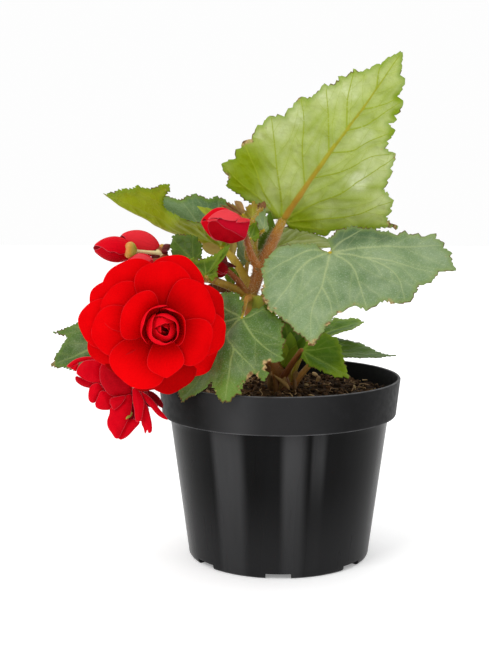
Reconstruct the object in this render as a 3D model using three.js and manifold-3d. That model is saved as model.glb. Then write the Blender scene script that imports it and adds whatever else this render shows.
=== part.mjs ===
// Potted tuberous begonia: a black nursery pot of soil, a leaning fleshy plant with notched leaves,
// one large double bloom, a hanging half-double bloom and six buds.
// Millimetres, +Z up. The origin is the centre of the pot's flat underside, and the plant's main
// bloom faces -Y.
import * as THREE from "three";
import { mergeVertices } from "three/addons/utils/BufferGeometryUtils.js";
import Module from "manifold-3d";

const wasm = await Module();
wasm.setup();

// Driving dimensions of the pot.
const POT_HEIGHT = 97;
const RIM_RADIUS = 65;
const COLLAR_FOOT_RADIUS = 62.9;
const COLLAR_FOOT_HEIGHT = 77;
const BODY_TOP_RADIUS = 58.8;
const BASE_RADIUS = 48.7;
const BASE_CORNER = 1.4;
const WALL = 1.5;
const LIP = 0.9;
const LIP_EASE = 0.6;
const FLOOR = 1.6;
const POT_SIDES = 48;
const DRAIN_NOTCHES = 7;
const NOTCH_WIDTH = 13;
const NOTCH_HEIGHT = 2.6;
const NOTCH_REACH = 9;

// Driving dimensions of the soil, the crown and the blades.
const GAP = 0.35;
const SOIL_LEVEL = 87;
const SOIL_MOUND = 2.5;
const SOIL_ROUGHNESS = 1.1;
const CROWN = new THREE.Vector3(2, -1, 0);
const CROWN_RADIUS = 11;
const CROWN_DEPTH = 15;
const BLADE = 0.8;
const PETAL = 0.8;
const SEAT_REACH = 9;
const SEAT_WIDENING = 14;

const DEG = Math.PI / 180;
const vec = (p) => new THREE.Vector3(p[0], p[1], p[2]);

// A closed geometry as a manifold solid.
function solid(geometry) {
  const bare = geometry.clone();
  bare.deleteAttribute("normal");
  bare.deleteAttribute("uv");
  const merged = mergeVertices(bare, 1e-4);
  const mesh = new wasm.Mesh({
    numProp: 3,
    vertProperties: new Float32Array(merged.attributes.position.array),
    triVerts: new Uint32Array(merged.index.array),
  });
  return new wasm.Manifold(mesh);
}

// A manifold solid as a geometry that three.js can draw.
function geometryOf(manifold) {
  const mesh = manifold.getMesh();
  const geometry = new THREE.BufferGeometry();
  geometry.setAttribute("position", new THREE.BufferAttribute(mesh.vertProperties, 3));
  geometry.setIndex(new THREE.BufferAttribute(mesh.triVerts, 1));
  geometry.computeVertexNormals();
  return geometry;
}

// The largest shell of a solid: closed hollows and pieces that a cut leaves loose are dropped.
function largest(body) {
  return body.decompose().reduce((a, b) => (a.volume() > b.volume() ? a : b));
}

function geometryFrom(points, triangles) {
  const geometry = new THREE.BufferGeometry();
  geometry.setAttribute("position", new THREE.Float32BufferAttribute(points.flatMap((p) => p.toArray()), 3));
  geometry.setIndex(triangles.flat());
  geometry.computeVertexNormals();
  return geometry;
}

// A thin closed skin: the same triangles on an upper and a lower face, joined round the edge loop.
function skin(upper, lower, triangles, loop) {
  const n = upper.length;
  const faces = triangles.map((t) => [...t]);
  triangles.forEach(([a, b, c]) => faces.push([n + a, n + c, n + b]));
  loop.forEach((a, i) => {
    const b = loop[(i + 1) % loop.length];
    faces.push([a, n + a, n + b], [a, n + b, b]);
  });
  return geometryFrom([...upper, ...lower], faces);
}

// Both faces of a skin, half a thickness off a surface given by a function of two numbers.
function facesOf(spots, surface, thickness) {
  const step = 0.05;
  const upper = [];
  const lower = [];
  for (const [a, b] of spots) {
    const p = surface(a, b);
    const along = surface(a + step, b).sub(surface(a - step, b));
    const across = surface(a, b + step).sub(surface(a, b - step));
    const out = along.cross(across).normalize().multiplyScalar(thickness / 2);
    upper.push(p.clone().add(out));
    lower.push(p.clone().sub(out));
  }
  return [upper, lower];
}

// Pot: a turned wall with a stepped collar, and drain notches cut in the foot.
function pot() {
  const outerAt = (z) => BASE_RADIUS + ((BODY_TOP_RADIUS - BASE_RADIUS) * z) / COLLAR_FOOT_HEIGHT;
  const profile = [
    [0, 0],
    [BASE_RADIUS - BASE_CORNER, 0],
    [outerAt(BASE_CORNER), BASE_CORNER],
    [BODY_TOP_RADIUS, COLLAR_FOOT_HEIGHT],
    [COLLAR_FOOT_RADIUS - LIP_EASE, COLLAR_FOOT_HEIGHT],
    [COLLAR_FOOT_RADIUS, COLLAR_FOOT_HEIGHT + LIP],
    [RIM_RADIUS, POT_HEIGHT - LIP],
    [RIM_RADIUS - LIP_EASE, POT_HEIGHT],
    [RIM_RADIUS - WALL, POT_HEIGHT],
    [RIM_RADIUS - WALL - LIP_EASE, POT_HEIGHT - LIP],
    [COLLAR_FOOT_RADIUS - WALL, COLLAR_FOOT_HEIGHT + WALL],
    [BODY_TOP_RADIUS - WALL, COLLAR_FOOT_HEIGHT + WALL],
    [outerAt(FLOOR) - WALL, FLOOR],
    [0, FLOOR],
  ].map(([r, z]) => new THREE.Vector2(r, z));
  let made = solid(new THREE.LatheGeometry(profile, POT_SIDES).rotateX(Math.PI / 2));
  const notch = new THREE.BoxGeometry(2 * NOTCH_REACH, NOTCH_WIDTH, 2 * NOTCH_HEIGHT);
  notch.translate(BASE_RADIUS, 0, 0);
  for (let i = 0; i < DRAIN_NOTCHES; i++) {
    const turned = notch.clone().rotateZ((i * 2 * Math.PI) / DRAIN_NOTCHES - Math.PI / 2);
    made = made.subtract(solid(turned));
  }
  return geometryOf(made);
}

// Height of the crumbly soil surface: a low mound round the crown, broken up by a few crossed waves.
function soilHeight(x, y) {
  const r = Math.hypot(x - CROWN.x, y - CROWN.y);
  const mound = SOIL_MOUND * Math.exp(-((r / 26) ** 2));
  const lumps = Math.sin(x * 0.31 + 1.2) * Math.cos(y * 0.27 - 0.6) + 0.6 * Math.sin(x * 0.17 - y * 0.41);
  return SOIL_LEVEL + mound + SOIL_ROUGHNESS * lumps;
}

// Soil: fills the pot to just under the rim, with a plain hole for the crown.
function soil() {
  const sides = 36;
  const topRings = [61.7, 52, 41, 29, 17, 10.5];
  const floorRadius = BASE_RADIUS - WALL - GAP;
  const bodyRadius = BODY_TOP_RADIUS - WALL - GAP;
  const collarRadius = COLLAR_FOOT_RADIUS - WALL - GAP;
  const wallRings = [
    [floorRadius, FLOOR + GAP],
    [bodyRadius - 0.1, COLLAR_FOOT_HEIGHT - 1],
    [bodyRadius, COLLAR_FOOT_HEIGHT + WALL + GAP],
    [collarRadius, COLLAR_FOOT_HEIGHT + WALL + GAP],
  ];
  const points = [new THREE.Vector3(0, 0, FLOOR + GAP)];
  const turn = (i) => (i * 2 * Math.PI) / sides;
  for (const [r, z] of wallRings)
    for (let i = 0; i < sides; i++) points.push(new THREE.Vector3(r * Math.cos(turn(i)), r * Math.sin(turn(i)), z));
  for (const r of topRings)
    for (let i = 0; i < sides; i++) {
      const x = r * Math.cos(turn(i));
      const y = r * Math.sin(turn(i));
      points.push(new THREE.Vector3(x, y, soilHeight(x, y)));
    }
  points.push(new THREE.Vector3(0, 0, soilHeight(0, 0)));
  const faces = [];
  const ringCount = wallRings.length + topRings.length;
  const at = (ring, i) => 1 + ring * sides + (i % sides);
  for (let i = 0; i < sides; i++) {
    faces.push([0, at(0, i + 1), at(0, i)]);
    for (let k = 0; k + 1 < ringCount; k++) {
      faces.push([at(k, i), at(k, i + 1), at(k + 1, i + 1)]);
      faces.push([at(k, i), at(k + 1, i + 1), at(k + 1, i)]);
    }
    faces.push([at(ringCount - 1, i), at(ringCount - 1, i + 1), points.length - 1]);
  }
  const hole = new THREE.CylinderGeometry(CROWN_RADIUS + GAP, CROWN_RADIUS + GAP, 2 * CROWN_DEPTH, 20);
  hole.rotateX(Math.PI / 2).translate(CROWN.x, CROWN.y, SOIL_LEVEL - GAP);
  return geometryOf(solid(geometryFrom(points, faces)).subtract(solid(hole)));
}

// Leaves. Each blade grows round the head of its leaf stalk, "at", and its midrib runs towards "tip".
// "face" is the way its upper side looks. "rim" is the edge: degrees from the midrib, counted round the
// upper side's normal, and millimetres from the leaf stalk's head. "droop" is how far the tip bends away
// from the upper side, in degrees, "wave" the height of the edge's waves, and "fold" how far the two
// halves rise from the midrib, in degrees, with the third number for the half nearer the leaf's heel.
const LEAVES = [
  {
    name: "leaf_upright", colour: "#a9bd5c", at: [1.6, 12, 179.7], tip: [60.1, -25.2, 267.7],
    face: [0.05, 0.93, 0.36], droop: 10, wave: 1.6, fold: [7, 7],
    rim: [[-118, 5], [-98, 12], [-94, 24], [-91, 35], [-79, 44.5], [-65, 45], [-58, 48], [-46, 53.3],
      [-40.5, 57.6], [-30.5, 57.6], [-24, 69], [-19.3, 70.5], [-16.2, 79], [-12, 81], [-8.2, 92],
      [-2.2, 102.2], [0, 112], [2.8, 105.2], [5.3, 101.7], [7.2, 93], [10.3, 91.4], [13, 82], [18.5, 70.8],
      [25.7, 70], [34, 63], [40, 56.3], [48.2, 60.3], [57.5, 56.2], [62.9, 62.7], [65, 53.8], [72.7, 29.3],
      [83.2, 18], [113.9, 6]],
  },
  {
    name: "leaf_right", colour: "#87a078", at: [26, -22, 164.4], tip: [90.2, -26.8, 158],
    face: [0, -0.8, 0.6], droop: 9, wave: 1.2, fold: [3, 3],
    rim: [[-208, 9], [-188.4, 18.2], [-181.3, 25.7], [-170.4, 30.2], [-153.5, 37.2], [-141.5, 39.4],
      [-138, 43], [-124.5, 47.5], [-112.7, 48], [-104, 51.3], [-93, 57], [-88.5, 49], [-80.6, 38.2],
      [-62.6, 34.4], [-55.5, 39.1], [-46, 38], [-39.4, 38.8], [-32.2, 46.3], [-27.3, 49.1], [-15.8, 48],
      [-10.2, 53.7], [-2, 58], [0, 64.7], [9, 62.7], [16.2, 59.2], [21.5, 57], [23.5, 47.7], [31.8, 34],
      [40.7, 26.5], [60, 20], [81.6, 14.3], [107.4, 7.9]],
  },
  {
    name: "leaf_front", colour: "#5f8450", at: [-18.8, -38.5, 132.5], tip: [-26, -67.3, 95.9],
    face: [-0.2, -0.75, 0.63], droop: 4, wave: 0.8, fold: [-20, 4],
    rim: [[-178, 8], [-161, 16], [-150, 20], [-142, 23], [-130, 26], [-113, 27], [-93, 28], [-76, 31],
      [-60, 37], [-49, 44], [-40.1, 48.6], [-35.6, 50.4], [-31, 51.5], [-28.6, 47.9], [-25.5, 46.3],
      [-21.5, 42.8], [-19, 40.6], [-17.4, 36.1], [-14.3, 38.9], [-9.1, 42.3], [-5.6, 45.5], [-2.7, 47.4],
      [2.4, 47.2], [6.5, 43], [8.8, 43.8], [10.8, 37.6], [17.4, 34.7], [21, 33.5], [22.8, 36.4],
      [26.2, 39.9], [30.6, 37.6], [32.4, 30.5], [40.9, 34.4], [45.9, 35.5], [53.4, 30.2], [61.3, 29],
      [69.4, 23.7], [81.2, 23.8], [89.4, 19.1], [105.8, 13.7], [121, 12.6], [139.5, 7]],
  },
  {
    name: "leaf_upper_left", colour: "#93a63c", at: [-31.3, 15, 167], tip: [-94.5, 2, 194],
    face: [0.39, 0.02, 0.92], droop: 0, wave: 1.2, fold: [60, 62, 16],
    rim: [[-146, 13], [-122, 22], [-100, 27], [-80, 27.5], [-61, 28.5], [-46, 32.4], [-37, 33], [-29, 35.2],
      [-20, 41], [-11, 51], [-4, 60], [0, 68], [5.9, 63], [13.8, 57.3], [17, 51.5], [23.5, 48],
      [29.7, 46.3], [33, 39], [38, 35], [45, 35], [59, 34.4], [75, 28], [95, 20], [127, 12]],
  },
  {
    name: "leaf_left", colour: "#5c7c4c", at: [-86.1, -5, 117.6], tip: [-123.1, -4.4, 102.9],
    face: [-0.252, -0.756, 0.605], droop: 6, wave: 0.8, fold: [12, 12],
    rim: [[-150, 10], [-120, 19], [-85, 25], [-58, 26], [-44.5, 26], [-38.7, 28.5], [-34.6, 31.5],
      [-31.2, 34.7], [-28.5, 39], [-26.8, 34], [-25, 29], [-22, 30], [-16.7, 32], [-12.5, 33], [-8, 35.8],
      [0, 39.7], [4.4, 36.8], [14, 30.5], [35, 27], [70, 24], [110, 20], [145, 11]],
  },
  {
    name: "leaf_low_right", colour: "#5b8a22", at: [11.7, -12, 112.3], tip: [36.9, -20.1, 100.6],
    face: [0.101, -0.704, 0.704], droop: 8, wave: 0.6, fold: [6, 6],
    rim: [[-66, 5], [-48, 7.5], [-39, 11.8], [-27, 14], [-18.6, 18.8], [-11, 23.9], [0, 28.9], [10.5, 25.1],
      [22, 22.5], [37.6, 21.4], [53, 21], [71, 17.6], [80, 13.9], [98, 7]],
  },
  {
    name: "leaf_right_low", colour: "#56703a", at: [23.5, 12, 108.1], tip: [64, 14.7, 106.8],
    face: [0.05, -0.322, 0.945], droop: 4, wave: 0.6, fold: [8, 4],
    rim: [[-115, 6], [-70, 11], [-36, 16], [-20, 25], [-12, 32.5], [0.2, 41.1], [2.5, 33], [14.4, 28.4],
      [27.6, 25.3], [40, 21], [54, 18.5], [68, 18], [85, 12], [110, 6]],
  },
  {
    name: "leaf_right_mid", colour: "#3f6618", at: [21.5, 21, 114.6], tip: [47.2, 31.3, 124.9],
    face: [-0.2, -0.4, 0.9], droop: 6, wave: 0.8, fold: [14, 8],
    rim: [[-110, 4], [-60, 8], [-36, 9.5], [-28, 20], [-14, 24.4], [-4, 28.6], [6.5, 28.3], [13, 25.7],
      [19, 21], [30, 20], [40, 15], [60, 11], [105, 5]],
  },
  {
    name: "leaf_small_mid", colour: "#3f5f14", at: [-44.1, -20, 159.4], tip: [-54.9, -14.9, 170.8],
    face: [0, -0.914, 0.406], droop: 4, wave: 0.6, fold: [9, 9],
    rim: [[-110, 4], [-80, 6.5], [-66, 10], [-45.7, 13.6], [-30.6, 14.7], [-18.5, 16.1], [-10, 18],
      [-2.4, 18.7], [5, 16.5], [13, 15.8], [32, 12], [70, 7], [110, 4]],
  },
  {
    name: "leaf_fold", colour: "#6c8a24", at: [-37.6, -25.5, 152.1], tip: [-27, -25.1, 169.5],
    face: [0.216, -0.97, -0.108], droop: -14, wave: 0.5, fold: [6, 10],
    rim: [[-100, 4], [-52, 6], [-24, 7], [-9, 10], [-3, 14], [0, 20.4], [8, 13], [24, 10.5], [43, 9.8],
      [65, 11.5], [77, 16.5], [98, 10], [130, 4]],
  },
  {
    name: "leaf_behind", colour: "#7f9440", at: [-6.4, 32, 163.7], tip: [30, 44, 166],
    face: [-0.2, 0.35, 0.91], droop: 12, wave: 1.2, fold: [10, 10],
    rim: [[-125, 10], [-90, 22], [-60, 27], [-38, 27], [-22, 32], [-9, 37], [0, 43], [12, 36], [28, 32],
      [45, 28], [70, 25], [100, 20], [135, 9]],
  },
  {
    name: "leaf_rear", colour: "#8ba276", at: [-10, 43, 171], tip: [-34, 65, 195],
    face: [0.55, 0.1, 0.83], droop: 14, wave: 1.2, fold: [10, 10],
    rim: [[-130, 9], [-95, 20], [-66, 25], [-40, 27], [-22, 32], [-9, 36], [0, 42], [10, 36], [25, 31],
      [44, 27], [70, 23], [100, 18], [135, 9]],
  },
  {
    name: "leaf_back_low", colour: "#5a7a3e", at: [-12, 46, 116], tip: [-20, 84, 103],
    face: [-0.05, 0.32, 0.945], droop: 16, wave: 1.1, fold: [8, 8],
    rim: [[-130, 9], [-100, 19], [-70, 24], [-42, 26], [-24, 31], [-10, 35], [0, 41], [11, 35], [27, 31],
      [46, 27], [74, 23], [104, 18], [138, 9]],
  },
  {
    name: "leaf_mid_back", colour: "#6e8860", at: [-17.6, 12, 156], tip: [-23, 16.5, 172.5],
    face: [0.75, -0.6, 0.25], droop: 5, wave: 0.4, fold: [12, 12],
    rim: [[-110, 4], [-60, 8], [-25, 10], [0, 17.5], [25, 10], [60, 8], [110, 4]],
  },
  {
    name: "leaf_mid_low", colour: "#86a03a", at: [-23, 5, 147.5], tip: [-34.5, 8, 156.5],
    face: [0.5, -0.7, 0.5], droop: 5, wave: 0.4, fold: [10, 10],
    rim: [[-110, 4], [-60, 7], [-25, 9], [0, 15], [25, 9], [60, 7], [110, 4]],
  },
  {
    name: "leaf_low_mid", colour: "#3c5c12", at: [6, 5, 112], tip: [2, 11, 131],
    face: [0.1, -0.95, 0.3], droop: 10, wave: 0.6, fold: [10, 10],
    rim: [[-110, 5], [-70, 10], [-40, 13], [-15, 16], [0, 20.5], [15, 16], [40, 13], [70, 10], [110, 5]],
  },
  {
    name: "young_leaf_1", colour: "#b3ab2c", at: [-19.5, 1, 183], tip: [-26, -5, 190.5],
    face: [0.1, -0.75, 0.65], droop: -20, wave: 0.6, fold: [24, 24],
    rim: [[-105, 3], [-60, 6], [-25, 8], [0, 12], [25, 8], [60, 6], [105, 3]],
  },
  {
    name: "young_leaf_2", colour: "#8e9130", at: [-14.5, 4, 181.5], tip: [-18, -2.5, 192.5],
    face: [-0.35, -0.8, 0.5], droop: -14, wave: 0.5, fold: [22, 22],
    rim: [[-105, 3], [-60, 6], [-25, 8], [0, 13], [25, 8], [60, 6], [105, 3]],
  },
  {
    name: "young_leaf_4", colour: "#8fa377", at: [-8.4, -4.2, 175], tip: [-2, -7.2, 184.6],
    face: [0.62, -0.72, 0.3], droop: 6, wave: 0.4, fold: [12, 12],
    rim: [[-105, 2], [-60, 3.5], [-25, 5.5], [0, 12], [25, 6.5], [60, 5], [105, 3]],
  },
  {
    name: "young_leaf_3", colour: "#93ac28", at: [-15.4, -5, 170.5], tip: [-10, -6.5, 181.5],
    face: [0.3, -0.9, 0.3], droop: 6, wave: 0.4, fold: [8, 8],
    rim: [[-105, 3], [-55, 5], [-25, 7], [0, 12.5], [25, 7], [55, 5], [105, 3]],
  },
];

// The edge of a leaf as points in its plane, with a tooth between each two points of the rim.
function leafEdge(leaf) {
  const teeth = leaf.seat ? 0 : 0.8;
  const polar = leaf.rim.map(([angle, r]) => [r * Math.cos(angle * DEG), r * Math.sin(angle * DEG)]);
  const edge = [];
  polar.forEach(([x, y], i) => {
    edge.push([x, y]);
    if (i + 1 < polar.length) {
      const [x2, y2] = polar[i + 1];
      const inward = Math.min(teeth, 0.12 * Math.hypot(x2 - x, y2 - y));
      const length = Math.hypot(x2 - x, y2 - y);
      edge.push([(x + x2) / 2 - (inward * (y2 - y)) / length, (y + y2) / 2 + (inward * (x2 - x)) / length]);
    }
  });
  return edge;
}

// The bent surface of a leaf, from a place in its plane.
function leafSurface(leaf) {
  const face = vec(leaf.face).normalize();
  const run = vec(leaf.tip).sub(vec(leaf.at));
  const along = run.clone().addScaledVector(face, -run.dot(face)).normalize();
  const side = face.clone().cross(along);
  const length = run.length();
  const origin = vec(leaf.at);
  const creaseWidth = 1.5;
  return (x, y) => {
    const nearTip = THREE.MathUtils.smoothstep(x, 0.38 * length, 0.5 * length);
    const heel = leaf.fold[2] ?? leaf.fold[1];
    const angle = (y > 0 ? heel + (leaf.fold[1] - heel) * nearTip : leaf.fold[0]) * DEG;
    const reach = Math.sqrt(y * y + creaseWidth * creaseWidth) - creaseWidth;
    const bend = (leaf.droop * DEG * x * Math.abs(x)) / (2 * length);
    const rise = Math.min(1, Math.hypot(x, y) / length);
    const wave = leaf.wave * rise * rise * Math.sin(5 * Math.atan2(y, x) + length);
    return origin
      .clone()
      .addScaledVector(along, x)
      .addScaledVector(side, y * Math.cos(angle))
      .addScaledVector(face, reach * Math.sin(angle) - bend + wave);
  };
}

// A leaf blade: rings of the rim's points drawn in towards the stalk's head, then the toothed edge.
function leafBlade(leaf) {
  const edge = leafEdge(leaf);
  const grow = leaf.seat ? GAP : 0;
  const inner = leaf.rim.length > 20 ? [0.3, 0.65] : [0.5];
  const sinus = ((leaf.rim[0][0] + leaf.rim[leaf.rim.length - 1][0]) / 2 + 180) * DEG;
  const backX = 2 * grow * Math.cos(sinus);
  const backY = 2 * grow * Math.sin(sinus);
  const spots = [[backX, backY]];
  const n = leaf.rim.length;
  for (const share of inner)
    for (let i = 0; i < n; i++) spots.push([edge[2 * i][0] * share + backX, edge[2 * i][1] * share + backY]);
  for (const [x, y] of edge) spots.push([x + backX, y + backY]);
  const at = (ring, i) => 1 + ring * n + i;
  const last = inner.length - 1;
  const tooth = (i) => 1 + inner.length * n + i;
  const faces = [];
  for (let i = 0; i + 1 < n; i++) {
    faces.push([0, at(0, i), at(0, i + 1)]);
    for (let k = 0; k < last; k++) {
      faces.push([at(k, i), at(k + 1, i), at(k + 1, i + 1)], [at(k, i), at(k + 1, i + 1), at(k, i + 1)]);
    }
    faces.push([at(last, i), tooth(2 * i), tooth(2 * i + 1)]);
    faces.push([at(last, i), tooth(2 * i + 1), at(last, i + 1)]);
    faces.push([at(last, i + 1), tooth(2 * i + 1), tooth(2 * i + 2)]);
  }
  const loop = [0];
  for (let k = 0; k <= last; k++) loop.push(at(k, 0));
  for (let i = 0; i < edge.length; i++) loop.push(tooth(i));
  for (let k = last; k >= 0; k--) loop.push(at(k, n - 1));
  const [upper, lower] = facesOf(spots, leafSurface(leaf), BLADE + 2 * grow);
  return skin(upper, lower, faces, loop);
}

// A petal from its foot to its tip. "inner" is the way its inner side looks, "belly" how far its middle
// stands off the straight line on the outer side, "cup" how far its edges rise on the inner side, and
// "point" how pointed its ends are.
function petal({ foot, tip, inner, half, belly, cup, point }) {
  const lengthSteps = 4;
  const sideSteps = 4;
  const run = tip.clone().sub(foot);
  const face = inner.clone().addScaledVector(run, -inner.dot(run) / run.lengthSq()).normalize();
  const side = face.clone().cross(run).normalize();
  const widthAt = (s) => Math.max(0.1, Math.sin(Math.PI * s ** 1.5) ** point);
  const surface = (a, b) => {
    const s = Math.sin((THREE.MathUtils.clamp(a, 0, lengthSteps) / lengthSteps) * (Math.PI / 2));
    const t = b / (sideSteps / 2) - 1;
    return foot
      .clone()
      .addScaledVector(run, s)
      .addScaledVector(side, half * widthAt(s) * t)
      .addScaledVector(face, cup * widthAt(s) * t * t - belly * 4 * s * (1 - s));
  };
  const spots = [];
  const faces = [];
  const columns = sideSteps + 1;
  for (let a = 0; a <= lengthSteps; a++) for (let b = 0; b <= sideSteps; b++) spots.push([a, b]);
  for (let a = 0; a < lengthSteps; a++)
    for (let b = 0; b < sideSteps; b++) {
      const k = a * columns + b;
      faces.push([k, k + columns, k + columns + 1], [k, k + columns + 1, k + 1]);
    }
  const loop = [];
  for (let a = 0; a < lengthSteps; a++) loop.push(a * columns);
  for (let b = 0; b < sideSteps; b++) loop.push(lengthSteps * columns + b);
  for (let a = lengthSteps; a > 0; a--) loop.push(a * columns + sideSteps);
  for (let b = sideSteps; b > 0; b--) loop.push(b);
  const [upper, lower] = facesOf(spots, surface, PETAL);
  return skin(upper, lower, faces, loop);
}

// An ellipsoid with its long axis from one point to another, as a core or a bud.
function ovoid(from, to, radius, rings, sides) {
  const length = from.distanceTo(to);
  const geometry = new THREE.SphereGeometry(1, sides, rings);
  geometry.scale(radius, length / 2, radius);
  const turn = new THREE.Quaternion().setFromUnitVectors(new THREE.Vector3(0, 1, 0), to.clone().sub(from).normalize());
  geometry.applyQuaternion(turn);
  const middle = from.clone().add(to).multiplyScalar(0.5);
  return geometry.translate(middle.x, middle.y, middle.z);
}

// Main bloom: flat guard petals behind, broad petals over them, and a cupped rosette round the eye.
const BLOOM_BACK = new THREE.Vector3(-58.6, -58, 130.5);
const BLOOM_AXIS = new THREE.Vector3(0.24, -0.965, 0.03).normalize();
const BLOOM_CORE_RADIUS = 8.5;
const BLOOM_CORE_LENGTH = 13;
// Each petal: degrees round the axis from the right, reach of the tip, height of the tip and of the foot
// over the back, half width, and how far it is cupped.
const BLOOM_PETALS = [
  [120, 36, -1, 3, 15, -1], [69, 36, -1, 3, 14.5, -1], [17, 33, 0, 3, 12, -1], [-9, 34, 1.5, 3, 11, 0],
  [-36, 34, -1, 3, 12.5, -1], [-76, 34, 0, 3, 13, -1], [-104, 33, -1.5, 3, 12, -1], [-139, 32, -1, 2.5, 12, -1],
  [-162, 36, -1, 3, 12, -1], [176, 39, 0, 3, 12.5, -1], [156, 38, -1.5, 3, 12, -1],
  [87, 32, 4, 7, 14, 1], [36, 29, 6, 7, 13.5, 1], [149, 31, 4, 6, 12.5, 1], [183, 33, 4, 6.5, 12.5, 1],
  [-123, 32, 5, 7, 14.5, 1], [-24, 26, 9, 8, 12, 1], [150, 21, 12, 8, 13, 2.5], [-85, 22, 10, 8, 9, 2],
  [140, 10.5, 18.5, 7, 9, 4], [20, 10, 17.5, 7, 9, 4],
];

function axisFrame(axis) {
  const right = new THREE.Vector3(1, 0, 0).addScaledVector(axis, -axis.x).normalize();
  const up = axis.clone().cross(right);
  return (angle, reach, height) =>
    axis
      .clone()
      .multiplyScalar(height)
      .addScaledVector(right, reach * Math.cos(angle * DEG))
      .addScaledVector(up, reach * Math.sin(angle * DEG));
}

function bloomCore(grow = 0) {
  const from = BLOOM_BACK.clone().addScaledVector(BLOOM_AXIS, -grow);
  const to = BLOOM_BACK.clone().addScaledVector(BLOOM_AXIS, BLOOM_CORE_LENGTH + grow);
  return ovoid(from, to, BLOOM_CORE_RADIUS + grow, 6, 9);
}

function mainBloom() {
  const place = axisFrame(BLOOM_AXIS);
  const petals = BLOOM_PETALS.map(([angle, reach, tipHeight, footHeight, half, cup]) => {
    const upright = tipHeight > 15;
    const inner = upright ? place(angle + 180, 1, 0.3) : place(angle + 180, 0.1, 1);
    return solid(
      petal({
        foot: BLOOM_BACK.clone().add(place(angle, upright ? 5.5 : 3.5, footHeight)),
        tip: BLOOM_BACK.clone().add(place(angle, reach, tipHeight)),
        inner,
        half,
        belly: upright ? 1.5 : -2,
        cup,
        point: angle === -85 ? 0.9 : 0.5,
      }),
    );
  });
  const eye = ovoid(
    BLOOM_BACK.clone().addScaledVector(BLOOM_AXIS, 7),
    BLOOM_BACK.clone().addScaledVector(BLOOM_AXIS, 19.5),
    7.4, 6, 9,
  );
  return largest(wasm.Manifold.union([solid(bloomCore()), solid(eye), ...petals]));
}

// Hanging bloom: seen from its back, its petals spread down and out from a small core.
const SIDE_BACK = new THREE.Vector3(-76, -36, 96);
const SIDE_AXIS = new THREE.Vector3(-0.42, -0.18, -0.89).normalize();
const SIDE_CORE_RADIUS = 4;
const SIDE_CORE_LENGTH = 8;
// Each petal: place of the tip, half width and the way its inner side looks.
const SIDE_PETALS = [
  [[-109, -33, 107], 5.5, [0, 0.35, -0.94]], [[-106, -41, 106], 5.5, [0.1, 0.3, -0.95]],
  [[-101.5, -46, 103], 9, [0.1, 0.55, -0.83]], [[-104, -36, 98], 6.5, [0.2, 0.3, -0.9]],
  [[-88, -56, 101], 9.5, [0.3, 0.8, -0.5]], [[-94, -42, 91], 6, [0.4, 0.4, -0.8]],
  [[-90, -46, 87], 7, [0.5, 0.5, -0.7]], [[-82.5, -52, 88], 5.5, [0.5, 0.7, -0.5]],
  [[-81.5, -50, 73], 7, [0.35, 0.9, -0.2]], [[-80, -40, 70.5], 7.5, [0.1, 0.9, -0.3]],
  [[-70, -52, 82], 4, [0, 1, 0]], [[-67, -45, 75], 4, [-0.4, 0.8, -0.2]],
  [[-55.5, -50, 83], 4.5, [-0.6, 0.6, -0.5]], [[-59, -42, 87.5], 5, [-0.3, 0.5, -0.8]],
];

function sideCore(grow = 0) {
  const from = SIDE_BACK.clone().addScaledVector(SIDE_AXIS, -grow);
  const to = SIDE_BACK.clone().addScaledVector(SIDE_AXIS, SIDE_CORE_LENGTH + grow);
  return ovoid(from, to, SIDE_CORE_RADIUS + grow, 5, 7);
}

function sideBloom() {
  const start = SIDE_BACK.clone().addScaledVector(SIDE_AXIS, 0.35 * SIDE_CORE_LENGTH);
  const petals = SIDE_PETALS.map(([tip, half, inner]) => {
    const way = vec(tip).sub(start).normalize();
    const foot = start.clone().addScaledVector(way, 1.5);
    return solid(petal({ foot, tip: vec(tip), inner: vec(inner), half, belly: 3, cup: 3, point: 0.55 }));
  });
  return largest(wasm.Manifold.union([solid(sideCore()), ...petals]));
}

// Buds: an ovoid with overlapping outer petals, from its base to its nose.
const BUDS = [
  {
    name: "bud_top", base: [-17.1, -17.5, 173.6], nose: [-39.2, -24, 181.2], radius: 7.4,
    petals: [[-40.2, -25, 182, 8.2], [-17.8, -21, 184.2, 6]],
  },
  { name: "bud_left", base: [-73, -30, 165.4], nose: [-94, -34, 168], radius: 6, petals: [] },
  { name: "bud_mid", base: [-61.5, -21, 165.6], nose: [-82, -21.5, 172.8], radius: 6.4, petals: [] },
  { name: "bud_small", base: [-27, -15, 154.6], nose: [-35, -19, 156], radius: 4, petals: [] },
  { name: "bud_low", base: [-64, -31, 160.5], nose: [-77, -37.5, 159.5], radius: 4.2, petals: [] },
];
// The smallest bud hasn't parted from its stalk yet, so it is one body with the stems.
const YOUNGEST_BUD = { base: [-17.6, -6.2, 162.6], nose: [-17.4, -6.6, 170.6], radius: 1.7 };

function budCore(spec, grow = 0) {
  const way = vec(spec.nose).sub(vec(spec.base)).normalize();
  const base = vec(spec.base).addScaledVector(way, -grow);
  return ovoid(base, vec(spec.nose).addScaledVector(way, grow), spec.radius + grow, 7, 10);
}

function bud(spec) {
  let made = solid(budCore(spec));
  for (const [x, y, z, half] of spec.petals) {
    const tip = new THREE.Vector3(x, y, z);
    const foot = vec(spec.base).lerp(vec(spec.nose), 0.15);
    const middle = vec(spec.base).lerp(vec(spec.nose), 0.5);
    const inner = middle.sub(tip.clone().add(foot).multiplyScalar(0.5));
    made = made.add(solid(petal({ foot, tip, inner, half, belly: 3, cup: 3, point: 0.6 })));
  }
  return largest(made);
}

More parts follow.
